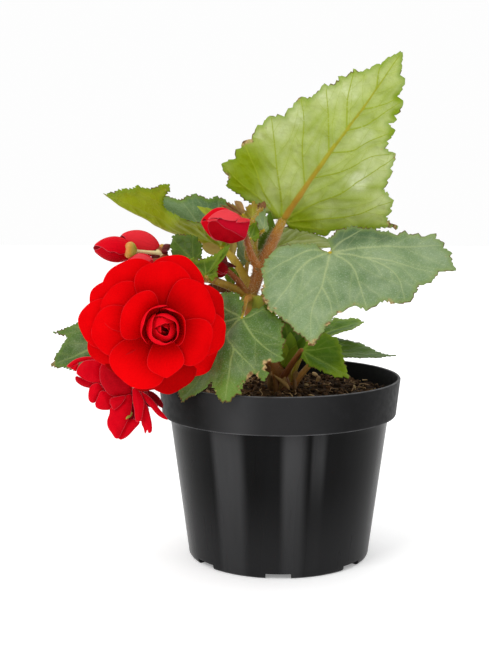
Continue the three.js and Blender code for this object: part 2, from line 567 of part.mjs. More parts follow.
// A tapering stem along a smooth line through points, closed at both ends.
function limb(points, radii, steps = 4) {
  const sides = radii[0] > 2.2 ? 6 : 5;
  const curve = new THREE.CatmullRomCurve3(points.map(vec));
  const frames = curve.computeFrenetFrames(steps, false);
  const rings = [];
  const faces = [];
  const radiusAt = (t) => {
    const place = t * (radii.length - 1);
    const k = Math.min(radii.length - 2, Math.floor(place));
    return THREE.MathUtils.lerp(radii[k], radii[k + 1], place - k);
  };
  for (let k = 0; k <= steps; k++) {
    const centre = curve.getPointAt(k / steps);
    for (let i = 0; i < sides; i++) {
      const angle = (i * 2 * Math.PI) / sides;
      const r = radiusAt(k / steps);
      rings.push(
        centre
          .clone()
          .addScaledVector(frames.normals[k], r * Math.cos(angle))
          .addScaledVector(frames.binormals[k], r * Math.sin(angle)),
      );
    }
  }
  const ends = [curve.getPointAt(0), curve.getPointAt(1)];
  const at = (k, i) => k * sides + (i % sides);
  for (let i = 0; i < sides; i++) {
    for (let k = 0; k < steps; k++) {
      faces.push([at(k, i), at(k, i + 1), at(k + 1, i + 1)], [at(k, i), at(k + 1, i + 1), at(k + 1, i)]);
    }
    faces.push([rings.length, at(0, i + 1), at(0, i)]);
    faces.push([rings.length + 1, at(steps, i), at(steps, i + 1)]);
  }
  return geometryFrom([...rings, ...ends], faces);
}

// Stems: the crown in the soil, the leaning main stem, leaf stalks, flower stalks and old stubs.
const HEAD = Object.fromEntries(LEAVES.map((leaf) => [leaf.name, leaf.at]));
const NODE_LOW = [-15.6, -4, 139];
const NODE_HIGH = [-10.8, -1, 154];
const TRUSS = [-50, -31, 150.5];
const STEMS = [
  // Main stem, then the stalk of the upright leaf.
  { points: [[3, -1, 82], [1, -1, 94], [-8, -2, 111], [-14, -4, 127], NODE_LOW], radii: [4.6, 4.4, 4.2, 4, 4] },
  { points: [[-14.5, -4, 134], NODE_LOW, [-12.5, -2, 148], [-8.7, 0, 158], [-3.5, 5.5, 169], HEAD.leaf_upright],
    radii: [3.7, 3.5, 3.3, 2.8, 2.5, 2.2], steps: 7 },
  // Stalks from the low node: flower truss, upper left leaf, front leaf, small bud, right leaf.
  { points: [NODE_LOW, [-24, -10, 146.5], [-37, -20, 151.5], TRUSS, [-57, -45, 140], [-58.7, -54, 130.6]],
    radii: [2.4, 2.1, 2, 1.9, 2, 2.2], steps: 8 },
  { points: [NODE_LOW, [-18, -2, 149], [-25, 2, 160], HEAD.leaf_upper_left], radii: [2.6, 2.4, 2.2, 2] },
  { points: [NODE_LOW, [-17, -17, 139.5], [-18, -28, 135.8], HEAD.leaf_front], radii: [2.2, 2, 1.8, 1.8] },
  { points: [NODE_LOW, [-21, -10.5, 148], [-26.8, -15, 154.4]], radii: [1.9, 1.7, 1.5] },
  { points: [[-14, -4, 132], [-2, -4, 146], [14, -10, 156], HEAD.leaf_right], radii: [2.4, 2.2, 2, 1.9] },
  // Stalks from the high node: top bud, young shoot, the leaves behind.
  { points: [NODE_HIGH, [-15, -10, 163], [-17.7, -17, 173.4]], radii: [2.5, 1.9, 1.5] },
  { points: [NODE_HIGH, [-14, 1, 165], [-12.8, 2.5, 176.5], [-9, 3.5, 187]], radii: [2.4, 2.2, 2, 1.7] },
  { points: [NODE_HIGH, [-9, 16, 156], HEAD.leaf_behind], radii: [2.2, 2, 1.8] },
  { points: [[-10, 2, 158], [-13, 16, 166], HEAD.leaf_rear], radii: [2, 1.9, 1.7] },
  { points: [[-15, -3, 141], [-18, 5, 149], HEAD.leaf_mid_back], radii: [1.7, 1.5, 1.3] },
  { points: [NODE_LOW, [-19, 2, 144], HEAD.leaf_mid_low], radii: [1.7, 1.4, 1.2] },
  { points: [[-13.5, -1, 158], [-17, -5, 160.5], [-17.6, -6, 163.5]], radii: [1.4, 1.1, 1], steps: 3 },
  { points: [[-12.6, 2.5, 176], [-17, 2, 180], HEAD.young_leaf_1], radii: [1.3, 1.1, 1], steps: 3 },
  { points: [[-12.6, 2.5, 176], [-13, 4, 179], HEAD.young_leaf_2], radii: [1.3, 1.1, 1], steps: 3 },
  { points: [[-13.2, 1, 164], [-14.6, -2, 167.5], HEAD.young_leaf_3], radii: [1.3, 1.1, 1], steps: 3 },
  { points: [[-13.4, 2, 169], [-11.4, 1, 172.5], HEAD.young_leaf_4], radii: [1.3, 1.1, 1], steps: 3 },
  // Stalks from the truss: hanging bloom, the three left buds, the two small leaves beside it.
  { points: [[-47, -28, 151.5], [-63, -27, 146], [-74, -26, 128], [-77.5, -30, 106], [-75.8, -35.8, 95.5]],
    radii: [1.6, 1.5, 1.4, 1.4, 1.6], steps: 7 },
  { points: [[-46, -27, 151.5], [-54, -24, 158], [-60.5, -24.5, 164.6]], radii: [1.7, 1.6, 1.9] },
  { points: [[-59, -24.5, 163.5], [-65, -27.5, 164.6], [-74, -30.2, 165.4]], radii: [1.5, 1, 1.1] },
  { points: [[-59, -24.5, 163.5], [-60.5, -22.5, 165], [-63, -21, 166.8]], radii: [1.9, 2, 1.9], steps: 3 },
  { points: [[-58.5, -24.5, 163], [-60.5, -28, 161], [-65, -31.5, 160.5]], radii: [1.5, 1.3, 1.3], steps: 3 },
  { points: [[-37, -19.5, 152.4], [-41, -19, 156.5], HEAD.leaf_small_mid], radii: [1.5, 1.4, 1.2], steps: 3 },
  { points: [[-33, -17, 150.8], [-35.5, -22, 149.5], HEAD.leaf_fold], radii: [1.5, 1.3, 1.1], steps: 3 },
  // Stalks from the crown: left, low right, right low, right middle, back and middle leaves.
  { points: [[-1, 0, 84], [-8, 2, 100], [-38, 1, 113], [-66, -2, 119], HEAD.leaf_left],
    radii: [2.6, 2.3, 2.1, 1.9, 1.7], steps: 6 },
  { points: [[4, -3, 84], [2, -6, 97], [6, -9.5, 107], HEAD.leaf_low_right], radii: [2.8, 2.6, 2, 1.4] },
  { points: [[6, 0, 84], [9, 1, 93], [17, 7, 102], HEAD.leaf_right_low], radii: [2.4, 2.1, 1.8, 1.5] },
  { points: [[5, 3, 84], [7, 6, 95], [13, 14, 107], HEAD.leaf_right_mid], radii: [2.3, 2, 1.8, 1.4] },
  { points: [[1, 4, 84], [-1, 9, 97], [-6, 30, 113], HEAD.leaf_back_low], radii: [2.5, 2.2, 2, 1.6] },
  { points: [[3, 2, 84], [5, 3, 98], HEAD.leaf_low_mid], radii: [2, 1.8, 1.4] },
  // Brown stubs of last season's stems.
  { points: [[-3, -4, 84], [-4.5, -6, 93], [-4.5, -7, 101]], radii: [3.2, 3.1, 2.4], steps: 3 },
  { points: [[-1.5, -7, 84], [-1.5, -9, 92], [-2.5, -9.5, 99]], radii: [2.4, 2.3, 1.6], steps: 3 },
  { points: [[7, -5, 84], [8.5, -6.5, 90], [8, -6.5, 97]], radii: [1.8, 1.7, 1.1], steps: 3 },
];

function crown() {
  const depth = CROWN_DEPTH - GAP;
  const geometry = new THREE.CylinderGeometry(0.7 * CROWN_RADIUS, CROWN_RADIUS, depth, 16);
  geometry.rotateX(Math.PI / 2).translate(CROWN.x, CROWN.y, SOIL_LEVEL + 2 - depth / 2);
  return geometry;
}

// The seat of a leaf in its stalk: a coarse piece of the blade round the stalk's head, a gap larger all over.
function leafSeat(leaf) {
  const first = leaf.rim[0][0] - SEAT_WIDENING;
  const last = leaf.rim[leaf.rim.length - 1][0] + SEAT_WIDENING;
  const turns = [first, 0.67 * first, first / 3, 0, last / 3, 0.67 * last, last];
  const rim = turns.map((angle) => [angle, SEAT_REACH]);
  return leafBlade({ ...leaf, rim, seat: true });
}

function stems() {
  let made = wasm.Manifold.union([
    solid(crown()),
    solid(budCore(YOUNGEST_BUD)),
    ...STEMS.map((s) => solid(limb(s.points, s.radii, s.steps))),
  ]);
  for (const leaf of LEAVES) made = made.subtract(solid(leafSeat(leaf)));
  for (const spec of BUDS) made = made.subtract(solid(budCore(spec, GAP)));
  return made.subtract(solid(bloomCore(GAP))).subtract(solid(sideCore(GAP)));
}

const MATERIALS = {
  pot: { color: "#232427", roughness: 0.42, metalness: 0 },
  soil: { color: "#3a2a1f", roughness: 1, metalness: 0 },
  stems: { color: "#8d6a3c", roughness: 0.6, metalness: 0 },
  bloom: { color: "#d90b0d", roughness: 0.55, metalness: 0 },
  bud: { color: "#b8101f", roughness: 0.5, metalness: 0 },
};

const plant = new THREE.Group();
function add(name, geometry, finish) {
  const mesh = new THREE.Mesh(geometry, new THREE.MeshStandardMaterial(finish));
  mesh.name = name;
  plant.add(mesh);
}

add("pot", pot(), MATERIALS.pot);
add("soil", soil(), MATERIALS.soil);
for (const leaf of LEAVES) add(leaf.name, leafBlade(leaf), { color: leaf.colour, roughness: 0.7, metalness: 0 });

const main = mainBloom();
const side = sideBloom();
add("stems", geometryOf(largest(stems())), MATERIALS.stems);
add("bloom_main", geometryOf(main), MATERIALS.bloom);
add("bloom_side", geometryOf(side), MATERIALS.bloom);
for (const spec of BUDS) add(spec.name, geometryOf(bud(spec)), MATERIALS.bud);

export default plant;
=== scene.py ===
"""Potted begonia: leaning stems, toothed leaves, a double red bloom and buds in a black nursery pot.

Lengths are millimetres until a mesh is made, and the frame's metres after that.
"""

import math
import random

import bpy
import numpy as np
from mathutils import Matrix, Vector, geometry, kdtree, noise


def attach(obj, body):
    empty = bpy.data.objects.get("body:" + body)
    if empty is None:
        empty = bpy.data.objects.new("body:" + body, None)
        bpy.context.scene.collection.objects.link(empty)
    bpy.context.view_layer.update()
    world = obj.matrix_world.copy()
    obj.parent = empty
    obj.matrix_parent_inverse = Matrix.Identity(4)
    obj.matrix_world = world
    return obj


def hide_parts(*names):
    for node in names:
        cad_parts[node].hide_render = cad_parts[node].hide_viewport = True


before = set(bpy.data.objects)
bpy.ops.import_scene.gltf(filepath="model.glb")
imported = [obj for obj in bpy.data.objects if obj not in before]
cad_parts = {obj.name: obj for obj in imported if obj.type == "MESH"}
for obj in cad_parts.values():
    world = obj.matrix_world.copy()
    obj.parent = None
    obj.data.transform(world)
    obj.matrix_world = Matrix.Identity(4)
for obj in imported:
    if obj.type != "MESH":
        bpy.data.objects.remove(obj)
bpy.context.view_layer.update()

MM = 0.001
DEG = math.pi / 180


def linear(code):
    """A hex colour as the linear red, green, blue and alpha that a shader takes."""
    parts = [int(code[i : i + 2], 16) / 255 for i in (1, 3, 5)]
    return [c / 12.92 if c <= 0.04045 else ((c + 0.055) / 1.055) ** 2.4 for c in parts] + [1.0]


class Finish:
    """A material and short ways to add nodes to it."""

    def __init__(self, name, roughness=0.5, **sockets):
        self.material = bpy.data.materials.new(name)
        self.material.use_nodes = True
        self.tree = self.material.node_tree
        self.shader = self.tree.nodes["Principled BSDF"]
        self.shader.inputs["Roughness"].default_value = roughness
        for socket, value in sockets.items():
            self.shader.inputs[socket.replace("_", " ")].default_value = value
        self.place = self.node("TexCoord").outputs["Object"]

    def node(self, kind):
        return self.tree.nodes.new("ShaderNode" + kind)

    def link(self, source, target):
        """Feeds a socket from another socket, a hex colour or a number."""
        if hasattr(source, "is_output"):
            self.tree.links.new(source, target)
        else:
            target.default_value = linear(source) if isinstance(source, str) else source

    def noise(self, scale, detail=3.0, roughness=0.55, stretch=None, output="Fac"):
        node = self.node("TexNoise")
        node.inputs["Scale"].default_value = scale
        node.inputs["Detail"].default_value = detail
        node.inputs["Roughness"].default_value = roughness
        source = self.place
        if stretch:
            mapping = self.node("Mapping")
            mapping.inputs["Scale"].default_value = stretch
            self.link(source, mapping.inputs["Vector"])
            source = mapping.outputs["Vector"]
        self.link(source, node.inputs["Vector"])
        return node.outputs[output]

    def cells(self, scale, warp):
        """Distance to the edge of small uneven cells, warped by that many metres."""
        node = self.node("TexVoronoi")
        node.feature = "DISTANCE_TO_EDGE"
        node.inputs["Scale"].default_value = scale
        shift = self.node("VectorMath")
        shift.operation = "MULTIPLY_ADD"
        self.link(self.noise(scale * 0.8, 2.0, output="Color"), shift.inputs[0])
        shift.inputs[1].default_value = (warp, warp, warp)
        self.link(self.place, shift.inputs[2])
        self.link(shift.outputs[0], node.inputs["Vector"])
        return node.outputs["Distance"]

    def attribute(self, name, output="Fac"):
        node = self.node("Attribute")
        node.attribute_name = name
        return node.outputs[output]

    def steps(self, source, low, high, out_low=0.0, out_high=1.0):
        """source turned from low..high into out_low..out_high, clamped and eased."""
        node = self.node("MapRange")
        node.interpolation_type = "SMOOTHSTEP"
        for name, value in (("From Min", low), ("From Max", high), ("To Min", out_low), ("To Max", out_high)):
            node.inputs[name].default_value = value
        self.link(source, node.inputs["Value"])
        return node.outputs["Result"]

    def math(self, operation, a, b=0.0):
        node = self.node("Math")
        node.operation = operation
        self.link(a, node.inputs[0])
        self.link(b, node.inputs[1])
        return node.outputs[0]

    def times(self, a, b):
        return self.math("MULTIPLY", a, b)

    def mix(self, factor, a, b):
        node = self.node("Mix")
        node.data_type = "RGBA"
        self.link(factor, node.inputs[0])
        self.link(a, node.inputs[6])
        self.link(b, node.inputs[7])
        return node.outputs[2]

    def colour(self, source):
        self.link(source, self.shader.inputs["Base Color"])

    def roughness(self, source):
        self.link(source, self.shader.inputs["Roughness"])

    def bump(self, *layers):
        """Each layer is a height source, its strength and its depth in millimetres."""
        last = None
        for source, strength, depth in layers:
            node = self.node("Bump")
            node.inputs["Strength"].default_value = strength
            node.inputs["Distance"].default_value = depth * MM
            self.link(source, node.inputs["Height"])
            if last:
                self.link(last, node.inputs["Normal"])
            last = node.outputs["Normal"]
        self.link(last, self.shader.inputs["Normal"])


def clear_selection():
    if bpy.context.object and bpy.context.object.mode != "OBJECT":
        bpy.ops.object.mode_set(mode="OBJECT")
    bpy.ops.object.select_all(action="DESELECT")


def turn_outward():
    """Turns the faces of the object being made outward, and leaves edit mode."""
    bpy.ops.object.mode_set(mode="EDIT")
    bpy.ops.mesh.select_all(action="SELECT")
    bpy.ops.mesh.normals_make_consistent(inside=False)
    bpy.ops.object.mode_set(mode="OBJECT")


def put_in_scene(name, data):
    made = bpy.data.objects.new(name, data)
    bpy.context.scene.collection.objects.link(made)
    return made


def read_vertices(mesh, what):
    values = np.empty(len(mesh.vertices) * 3)
    mesh.vertices.foreach_get(what, values)
    return values.reshape(-1, 3)


def piece_from(name, points, faces, finish, slot, nodes=(), smooth=True, **attributes):
    """A mesh object from points in millimetres, riding on the plant, with one number for each point."""
    mesh = bpy.data.meshes.new(name)
    mesh.from_pydata((np.asarray(points, float) * MM).tolist(), [], [list(map(int, f)) for f in faces])
    mesh.validate()
    for key, values in attributes.items():
        mesh.attributes.new(key, "FLOAT", "POINT").data.foreach_set("value", np.asarray(values, float))
    mesh.polygons.foreach_set("use_smooth", [smooth] * len(mesh.polygons))
    mesh.update()
    settle(put_in_scene(name, mesh), finish, nodes)


def settle(piece, finish, nodes=()):
    piece.data.materials.clear()
    piece.data.materials.append(finish.material)
    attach(piece, "root")
    if nodes:
        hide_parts(*nodes)


def unit(v):
    v = np.asarray(v, float)
    return v / np.linalg.norm(v, axis=-1, keepdims=True)


def eased(x, low, high):
    """0 below low and 1 above high, with a soft start and end."""
    t = np.clip((np.asarray(x, float) - low) / (high - low), 0, 1)
    return t * t * (3 - 2 * t)


def smooth_line(points, spacing):
    """Points at about that spacing along a Catmull-Rom line through the given ones."""
    p = np.asarray(points, float)
    if len(p) == 2:
        p = np.array([p[0], (p[0] + p[1]) / 2, p[1]])
    ends = np.vstack([2 * p[0] - p[1], p, 2 * p[-1] - p[-2]])
    out = []
    for i in range(len(p) - 1):
        a, b, c, d = ends[i : i + 4]
        count = max(2, int(math.ceil(np.linalg.norm(c - b) / spacing)))
        t = np.linspace(0, 1, count, endpoint=False)[:, None]
        out.append(0.5 * (2 * b + (c - a) * t + (2 * a - 5 * b + 4 * c - d) * t**2 + (3 * b - a - 3 * c + d) * t**3))
    return np.vstack([*out, p[-1:]])


def wobble(points, scale, seed):
    """Smooth noise between about -1 and 1 at points in millimetres."""
    shift = Vector((seed * 7.31, seed * 3.17, seed * 5.73))
    return np.array([noise.noise(Vector(p) * scale + shift) for p in points]) * 2


# Each leaf: where its stalk meets it, where its midrib ends, the way its upper side looks, droop, wave,
# fold, tone, and its rim as degrees from the midrib and millimetres from the stalk.
LEAVES = {
    "leaf_upright": (
        (1.6, 12, 179.7), (60.1, -25.2, 267.7), (0.05, 0.93, 0.36), 10, 1.6, (7, 7), "underside",
        [(-118, 5), (-98, 12), (-94, 24), (-92.4, 29.6), (-92.8, 31.9), (-91.8, 32.2), (-92.5, 33.9), (-91.4, 36),
         (-88.9, 35.7), (-87.8, 36.6), (-85.3, 36.5), (-84.4, 37.5), (-83.2, 37.5), (-83.4, 39.3), (-82.6, 42),
         (-81.4, 42.7), (-79.9, 44.7), (-78.5, 44.7), (-75.1, 43.5), (-73.6, 43.9), (-70.7, 42.3), (-69.2, 42),
         (-68.4, 42.5), (-67.7, 44.1), (-65.2, 46.1), (-61.9, 45.3), (-61, 45.5), (-60.5, 46.5), (-58.9, 47.7),
         (-57.8, 48.1), (-54.4, 47.9), (-52.5, 47.4), (-51, 49.8), (-49.3, 50.5), (-48.4, 51.9), (-46.3, 54),
         (-43.6, 53.4), (-42, 55.8), (-41.4, 55.9), (-40.2, 57.2), (-38.9, 57.9), (-36.8, 57.8), (-35.8, 57.2),
         (-34.7, 58.8), (-31.1, 57.5), (-30.9, 58.7), (-29.4, 62.1), (-27.3, 62.8), (-27, 65.1), (-26.6, 65.7),
         (-26.2, 65.8), (-25.1, 68.3), (-23.9, 69.4), (-22.2, 69.5), (-21.3, 69.1), (-20.6, 70.3), (-19.7, 70.2),
         (-19.2, 72), (-18.5, 72.6), (-18, 74.5), (-17.3, 75), (-17.1, 77.3), (-16.3, 79.4), (-14.6, 78.7),
         (-14.2, 80.4), (-13.1, 80.4), (-12.8, 80.8), (-11.9, 85.9), (-11.7, 86.3), (-10.3, 86.6), (-10.1, 87),
         (-9.8, 88.7), (-8.5, 92.4), (-7.3, 91.9), (-7, 92.1), (-6.8, 92.6), (-6.2, 92.9), (-5.6, 95.4), (-4.7, 95.7),
         (-4.6, 97.4), (-3.8, 99.9), (-3.1, 100.7), (-2.7, 100.6), (-2.7, 102.4), (-2.5, 102.9), (-2.2, 105.6),
         (-2.1, 106.1), (-1.6, 106.6), (-1.2, 108.9), (-0.9, 109), (-0.4, 111.8), (0, 111.5), (0.3, 111.9),
         (1, 110.2), (1.2, 109.2), (1.5, 108.9), (1.8, 106.8), (2.4, 106.1), (2.9, 104.8), (2.9, 104.2), (3.2, 103.9),
         (3.6, 101.7), (3.8, 101.4), (5.5, 101.5), (6.5, 99.4), (6.7, 99), (6.7, 96.8), (7.3, 96.3), (7.4, 94.2),
         (7.7, 93.3), (7.5, 91.6), (9.9, 91.9), (10.3, 91.6), (11, 90.4), (11.5, 88.9), (11.6, 87.4), (12.3, 86.9),
         (12.4, 86.3), (12.2, 84), (11.7, 83.1), (13.6, 82.5), (13.8, 82), (13.8, 79.9), (12.6, 78), (13, 77.7),
         (13.8, 78), (14.6, 77.4), (16, 78), (16.7, 77.9), (17.7, 75.2), (17.6, 74.2), (18.1, 74), (18.3, 73.4),
         (18.2, 70.7), (19.6, 70.8), (20.5, 67.6), (21.8, 68.6), (22.7, 68), (23.9, 69.5), (25.2, 70.4), (25.7, 70.3),
         (26.8, 69.1), (27.8, 68.9), (28.6, 67), (29.9, 66.1), (30.7, 64), (32.7, 64.6), (35.1, 61.9), (36, 59.8),
         (37.3, 60.1), (37.8, 59.8), (39.4, 57.9), (40.3, 56.3), (44.1, 58.7), (45.2, 58.2), (48, 60.7), (50.1, 59.6),
         (51.3, 59.4), (52.3, 58.1), (53.6, 59.2), (54.2, 59.1), (56.3, 57.2), (57, 56), (57.6, 56), (61.2, 58.6),
         (62, 62), (62.7, 63), (64.1, 62.8), (63.9, 56.5), (65.1, 51.2), (66.6, 45.3), (68.4, 38.4), (70.2, 32),
         (73.4, 27.3), (79.3, 26.6), (82.5, 25.4), (83.5, 21.7), (85, 17.4), (90, 12.5), (113.9, 6)]),
    "leaf_right": (
        (26, -22, 164.4), (90.2, -26.8, 158), (0, -0.8, 0.6), 9, 1.2, (3, 3), "grey",
        [(-208, 9), (-188.4, 18.2), (-184, 23), (-181.3, 25.7), (-176, 28), (-170.4, 30.2), (-162, 34),
         (-153.5, 37.2), (-147, 38), (-141.5, 39.4), (-138, 43), (-131, 45), (-124.5, 47.5), (-118, 46.8),
         (-112.7, 48), (-108, 48.6), (-104, 51.3), (-98, 53), (-94, 57.2), (-92, 57), (-90, 52), (-88.5, 49),
         (-84, 43), (-78.6, 37.3), (-74.7, 37.2), (-69.1, 35), (-63.6, 34.5), (-62.1, 34.9), (-56, 39.3), (-52, 38.7),
         (-48.1, 39.2), (-42.9, 38.1), (-42.3, 39.2), (-39.6, 38.7), (-37.4, 42.8), (-36.4, 43.5), (-35.4, 43.5),
         (-34.6, 44.9), (-32.5, 46.8), (-31.4, 46.8), (-28.7, 48.9), (-24.6, 48.8), (-22.1, 47.9), (-20.6, 48.8),
         (-15.5, 47.9), (-14.3, 50.2), (-12.3, 51.3), (-11.1, 53.6), (-8.5, 53.9), (-7.6, 54.6), (-6.3, 54.7),
         (-5.2, 55.8), (-2.9, 55.8), (-1.9, 59.3), (-1.4, 59.8), (-0.9, 62.8), (-0.1, 64.7), (1, 64.5), (2.4, 63),
         (3.5, 63), (4.5, 62.1), (5.7, 62.8), (6.2, 62.6), (7.3, 61.5), (9.1, 63.1), (10.4, 61.6), (10.7, 60.6),
         (11.6, 60.7), (11.9, 58.6), (14.9, 59.9), (15.7, 59.4), (16.5, 58), (17.4, 57.7), (17.9, 55.7), (20.1, 56.9),
         (21.3, 57.1), (21.4, 53.9), (20.3, 50.3), (20.6, 48.8), (23.5, 47.9), (23.2, 44.5), (24, 43.6), (23.7, 42.5),
         (27.4, 41.8), (27.8, 41.4), (26.8, 39.4), (27.1, 38.4), (25.3, 36.8), (25.5, 36.3), (30.1, 33.5),
         (40.7, 26.5), (60, 20), (81.6, 14.3), (107.4, 7.9)]),
    "leaf_front": (
        (-18.8, -38.5, 132.5), (-26, -67.3, 95.9), (-0.2, -0.75, 0.63), 4, 0.8, (-20, 4), "green",
        [(-178, 8), (-161, 16), (-150, 20), (-142, 23), (-130, 26), (-113, 27), (-93, 28), (-76, 31), (-60, 37),
         (-49, 44), (-40.1, 48.6), (-35.6, 50.4), (-31, 51.5), (-28.6, 47.9), (-25.5, 46.3), (-21.5, 42.8),
         (-19, 40.6), (-17.4, 36.1), (-14.3, 38.9), (-9.1, 42.3), (-5.6, 45.5), (-2.7, 47.4), (2.4, 47.2), (6.5, 43),
         (8.8, 43.8), (10.8, 37.6), (17.4, 34.7), (21, 33.5), (22.8, 36.4), (26.2, 39.9), (30.6, 37.6), (32.4, 30.5),
         (40.9, 34.4), (45.9, 35.5), (53.4, 30.2), (61.3, 29), (69.4, 23.7), (81.2, 23.8), (89.4, 19.1),
         (105.8, 13.7), (121, 12.6), (139.5, 7)]),
    "leaf_upper_left": (
        (-31.3, 15, 165), (-99, 1.8, 182.7), (0.251, -0.007, 0.956), -19.5, 1.2, (60, 62, 34), "folded",
        [(-138, 12.6), (-121.5, 19), (-107.2, 25.4), (-93.4, 28), (-83.6, 30.3), (-75.2, 31.5), (-67, 29.6),
         (-61.5, 31.8), (-54.9, 34.5), (-45.2, 34.8), (-38.7, 34.4), (-33.9, 37.1), (-31, 40), (-20, 46), (-10, 56),
         (0, 69), (3.9, 66.1), (8, 62.8), (12, 60.3), (15.3, 56.9), (19.2, 56.6), (21.8, 52.2), (27.1, 49.6),
         (31.3, 49.2), (34.3, 48), (37, 46.8), (34.5, 44), (29.1, 43.2), (23.3, 41.3), (20, 38.5), (20.9, 35.1),
         (31, 33.9), (35.2, 31.4), (39.2, 28.8), (49.2, 26.3), (56.3, 20.8), (62.8, 14), (85, 9), (125, 7)]),
    "leaf_left": (
        (-86.1, -5, 117.6), (-123.1, -4.4, 102.9), (-0.252, -0.756, 0.605), 6, 0.8, (12, 12), "green",
        [(-150, 10), (-120, 19), (-85, 25), (-58, 26), (-44.5, 26), (-38.7, 28.5), (-34.6, 31.5), (-31.2, 34.7),
         (-28.5, 39), (-26.8, 34), (-25, 29), (-22, 30), (-16.7, 32), (-12.5, 33), (-8, 35.8), (0, 39.7), (4.4, 36.8),
         (14, 30.5), (35, 27), (70, 24), (110, 20), (145, 11)]),
    "leaf_low_right": (
        (11.7, -12, 112.3), (36.9, -20.1, 100.6), (0.101, -0.704, 0.704), 8, 0.6, (6, 6), "bright",
        [(-66, 5), (-48, 7.5), (-39, 11.8), (-27, 14), (-18.6, 18.8), (-11, 23.9), (0, 28.9), (10.5, 25.1),
         (22, 22.5), (37.6, 21.4), (53, 21), (71, 17.6), (80, 13.9), (98, 7)]),
    "leaf_right_low": (
        (23.5, 12, 108.1), (64, 14.7, 106.8), (0.05, -0.322, 0.945), 4, 0.6, (8, 4), "dark",
        [(-115, 6), (-70, 11), (-36, 13.5), (-20, 22), (-12, 30), (0.2, 41.1), (2.5, 33), (14.4, 28.4), (27.6, 25.3),
         (40, 21), (54, 18.5), (68, 18), (85, 12), (110, 6)]),
    "leaf_right_mid": (
        (21.5, 21, 114.6), (47.2, 31.3, 124.9), (-0.2, -0.4, 0.9), 6, 0.8, (14, 8), "bright",
        [(-110, 4), (-60, 8), (-36, 9.5), (-28, 20), (-14, 24.4), (-4, 28.6), (6.5, 28.3), (13, 25.7), (19, 21),
         (30, 20), (40, 15), (60, 11), (105, 5)]),
    "leaf_small_mid": (
        (-44.1, -20, 159.4), (-54.9, -14.9, 170.8), (0, -0.914, 0.406), 4, 0.6, (9, 9), "dark",
        [(-110, 4), (-80, 6.5), (-66, 10), (-45.7, 13.6), (-30.6, 14.7), (-18.5, 16.1), (-10, 18), (-2.4, 18.7),
         (5, 16.5), (13, 15.8), (32, 12), (70, 7), (110, 4)]),
    "leaf_fold": (
        (-37.6, -25.5, 152.1), (-27, -25.1, 169.5), (0.216, -0.97, -0.108), -14, 0.5, (6, 10), "bright",
        [(-100, 4), (-52, 6), (-24, 7), (-9, 10), (-3, 14), (0, 20.4), (8, 13), (24, 10.5), (43, 9.8), (65, 11.5),
         (77, 16.5), (98, 10), (130, 4)]),
    "leaf_behind": (
        (-6.4, 32, 163.7), (30, 44, 166), (-0.2, 0.35, 0.91), 12, 1.2, (10, 10), "underside",
        [(-125, 10), (-90, 22), (-60, 27), (-38, 27), (-22, 32), (-9, 37), (0, 43), (12, 36), (28, 32), (45, 28),
         (70, 25), (100, 20), (135, 9)]),
    "leaf_rear": (
        (-10, 43, 171), (-34, 65, 195), (0.55, 0.1, 0.83), 14, 1.2, (10, 10), "grey",
        [(-130, 9), (-95, 20), (-66, 25), (-40, 27), (-22, 32), (-9, 36), (0, 42), (10, 36), (25, 31), (44, 27),
         (70, 23), (100, 18), (135, 9)]),
    "leaf_back_low": (
        (-12, 46, 116), (-20, 84, 103), (-0.05, 0.32, 0.945), 16, 1.1, (8, 8), "green",
        [(-130, 9), (-100, 19), (-70, 24), (-42, 26), (-24, 31), (-10, 35), (0, 41), (11, 35), (27, 31), (46, 27),
         (74, 23), (104, 18), (138, 9)]),
    "leaf_mid_back": (
        (-17.6, 12, 156), (-23, 16.5, 172.5), (0.75, -0.6, 0.25), 5, 0.4, (12, 12), "grey",
        [(-110, 5), (-60, 10), (-25, 13), (0, 20), (25, 13.5), (60, 10), (110, 5)]),
    "leaf_mid_low": (
        (-23, 5, 147.5), (-34.5, 8, 156.5), (0.5, -0.7, 0.5), 5, 0.4, (10, 10), "bright",
        [(-110, 4), (-60, 7), (-25, 9), (0, 15), (25, 9), (60, 7), (110, 4)]),
    "leaf_low_mid": (
        (6, 5, 112), (2, 11, 131), (0.1, -0.95, 0.3), 10, 0.6, (10, 10), "dark",
        [(-110, 5), (-70, 10), (-40, 13), (-15, 16), (0, 20.5), (15, 16), (40, 13), (70, 10), (110, 5)]),
    "young_leaf_1": (
        (-19.5, 1, 183), (-26, -5, 190.5), (0.1, -0.75, 0.65), -20, 0.6, (24, 24), "young",
        [(-105, 3), (-60, 6), (-25, 8), (0, 12), (25, 8), (60, 6), (105, 3)]),
    "young_leaf_2": (
        (-14.5, 4, 180.5), (-18, -2.5, 190), (-0.35, -0.8, 0.5), -14, 0.5, (22, 22), "young",
        [(-105, 3), (-60, 6), (-25, 8), (0, 10.5), (25, 8), (60, 6), (105, 3)]),
    "young_leaf_4": (
        (-8.4, -4.2, 175), (-2, -7.2, 184.6), (0.62, -0.72, 0.3), 6, 0.4, (12, 12), "grey",
        [(-105, 2), (-60, 3.5), (-25, 5.5), (0, 12.6), (25, 9.5), (60, 8), (105, 4)]),
    "young_leaf_3": (
        (-15.4, -5, 170.5), (-10, -6.5, 181.5), (0.3, -0.9, 0.3), 6, 0.4, (8, 8), "bright",
        [(-105, 3), (-55, 5), (-25, 7), (0, 12.5), (25, 7), (55, 5), (105, 3)]),
}

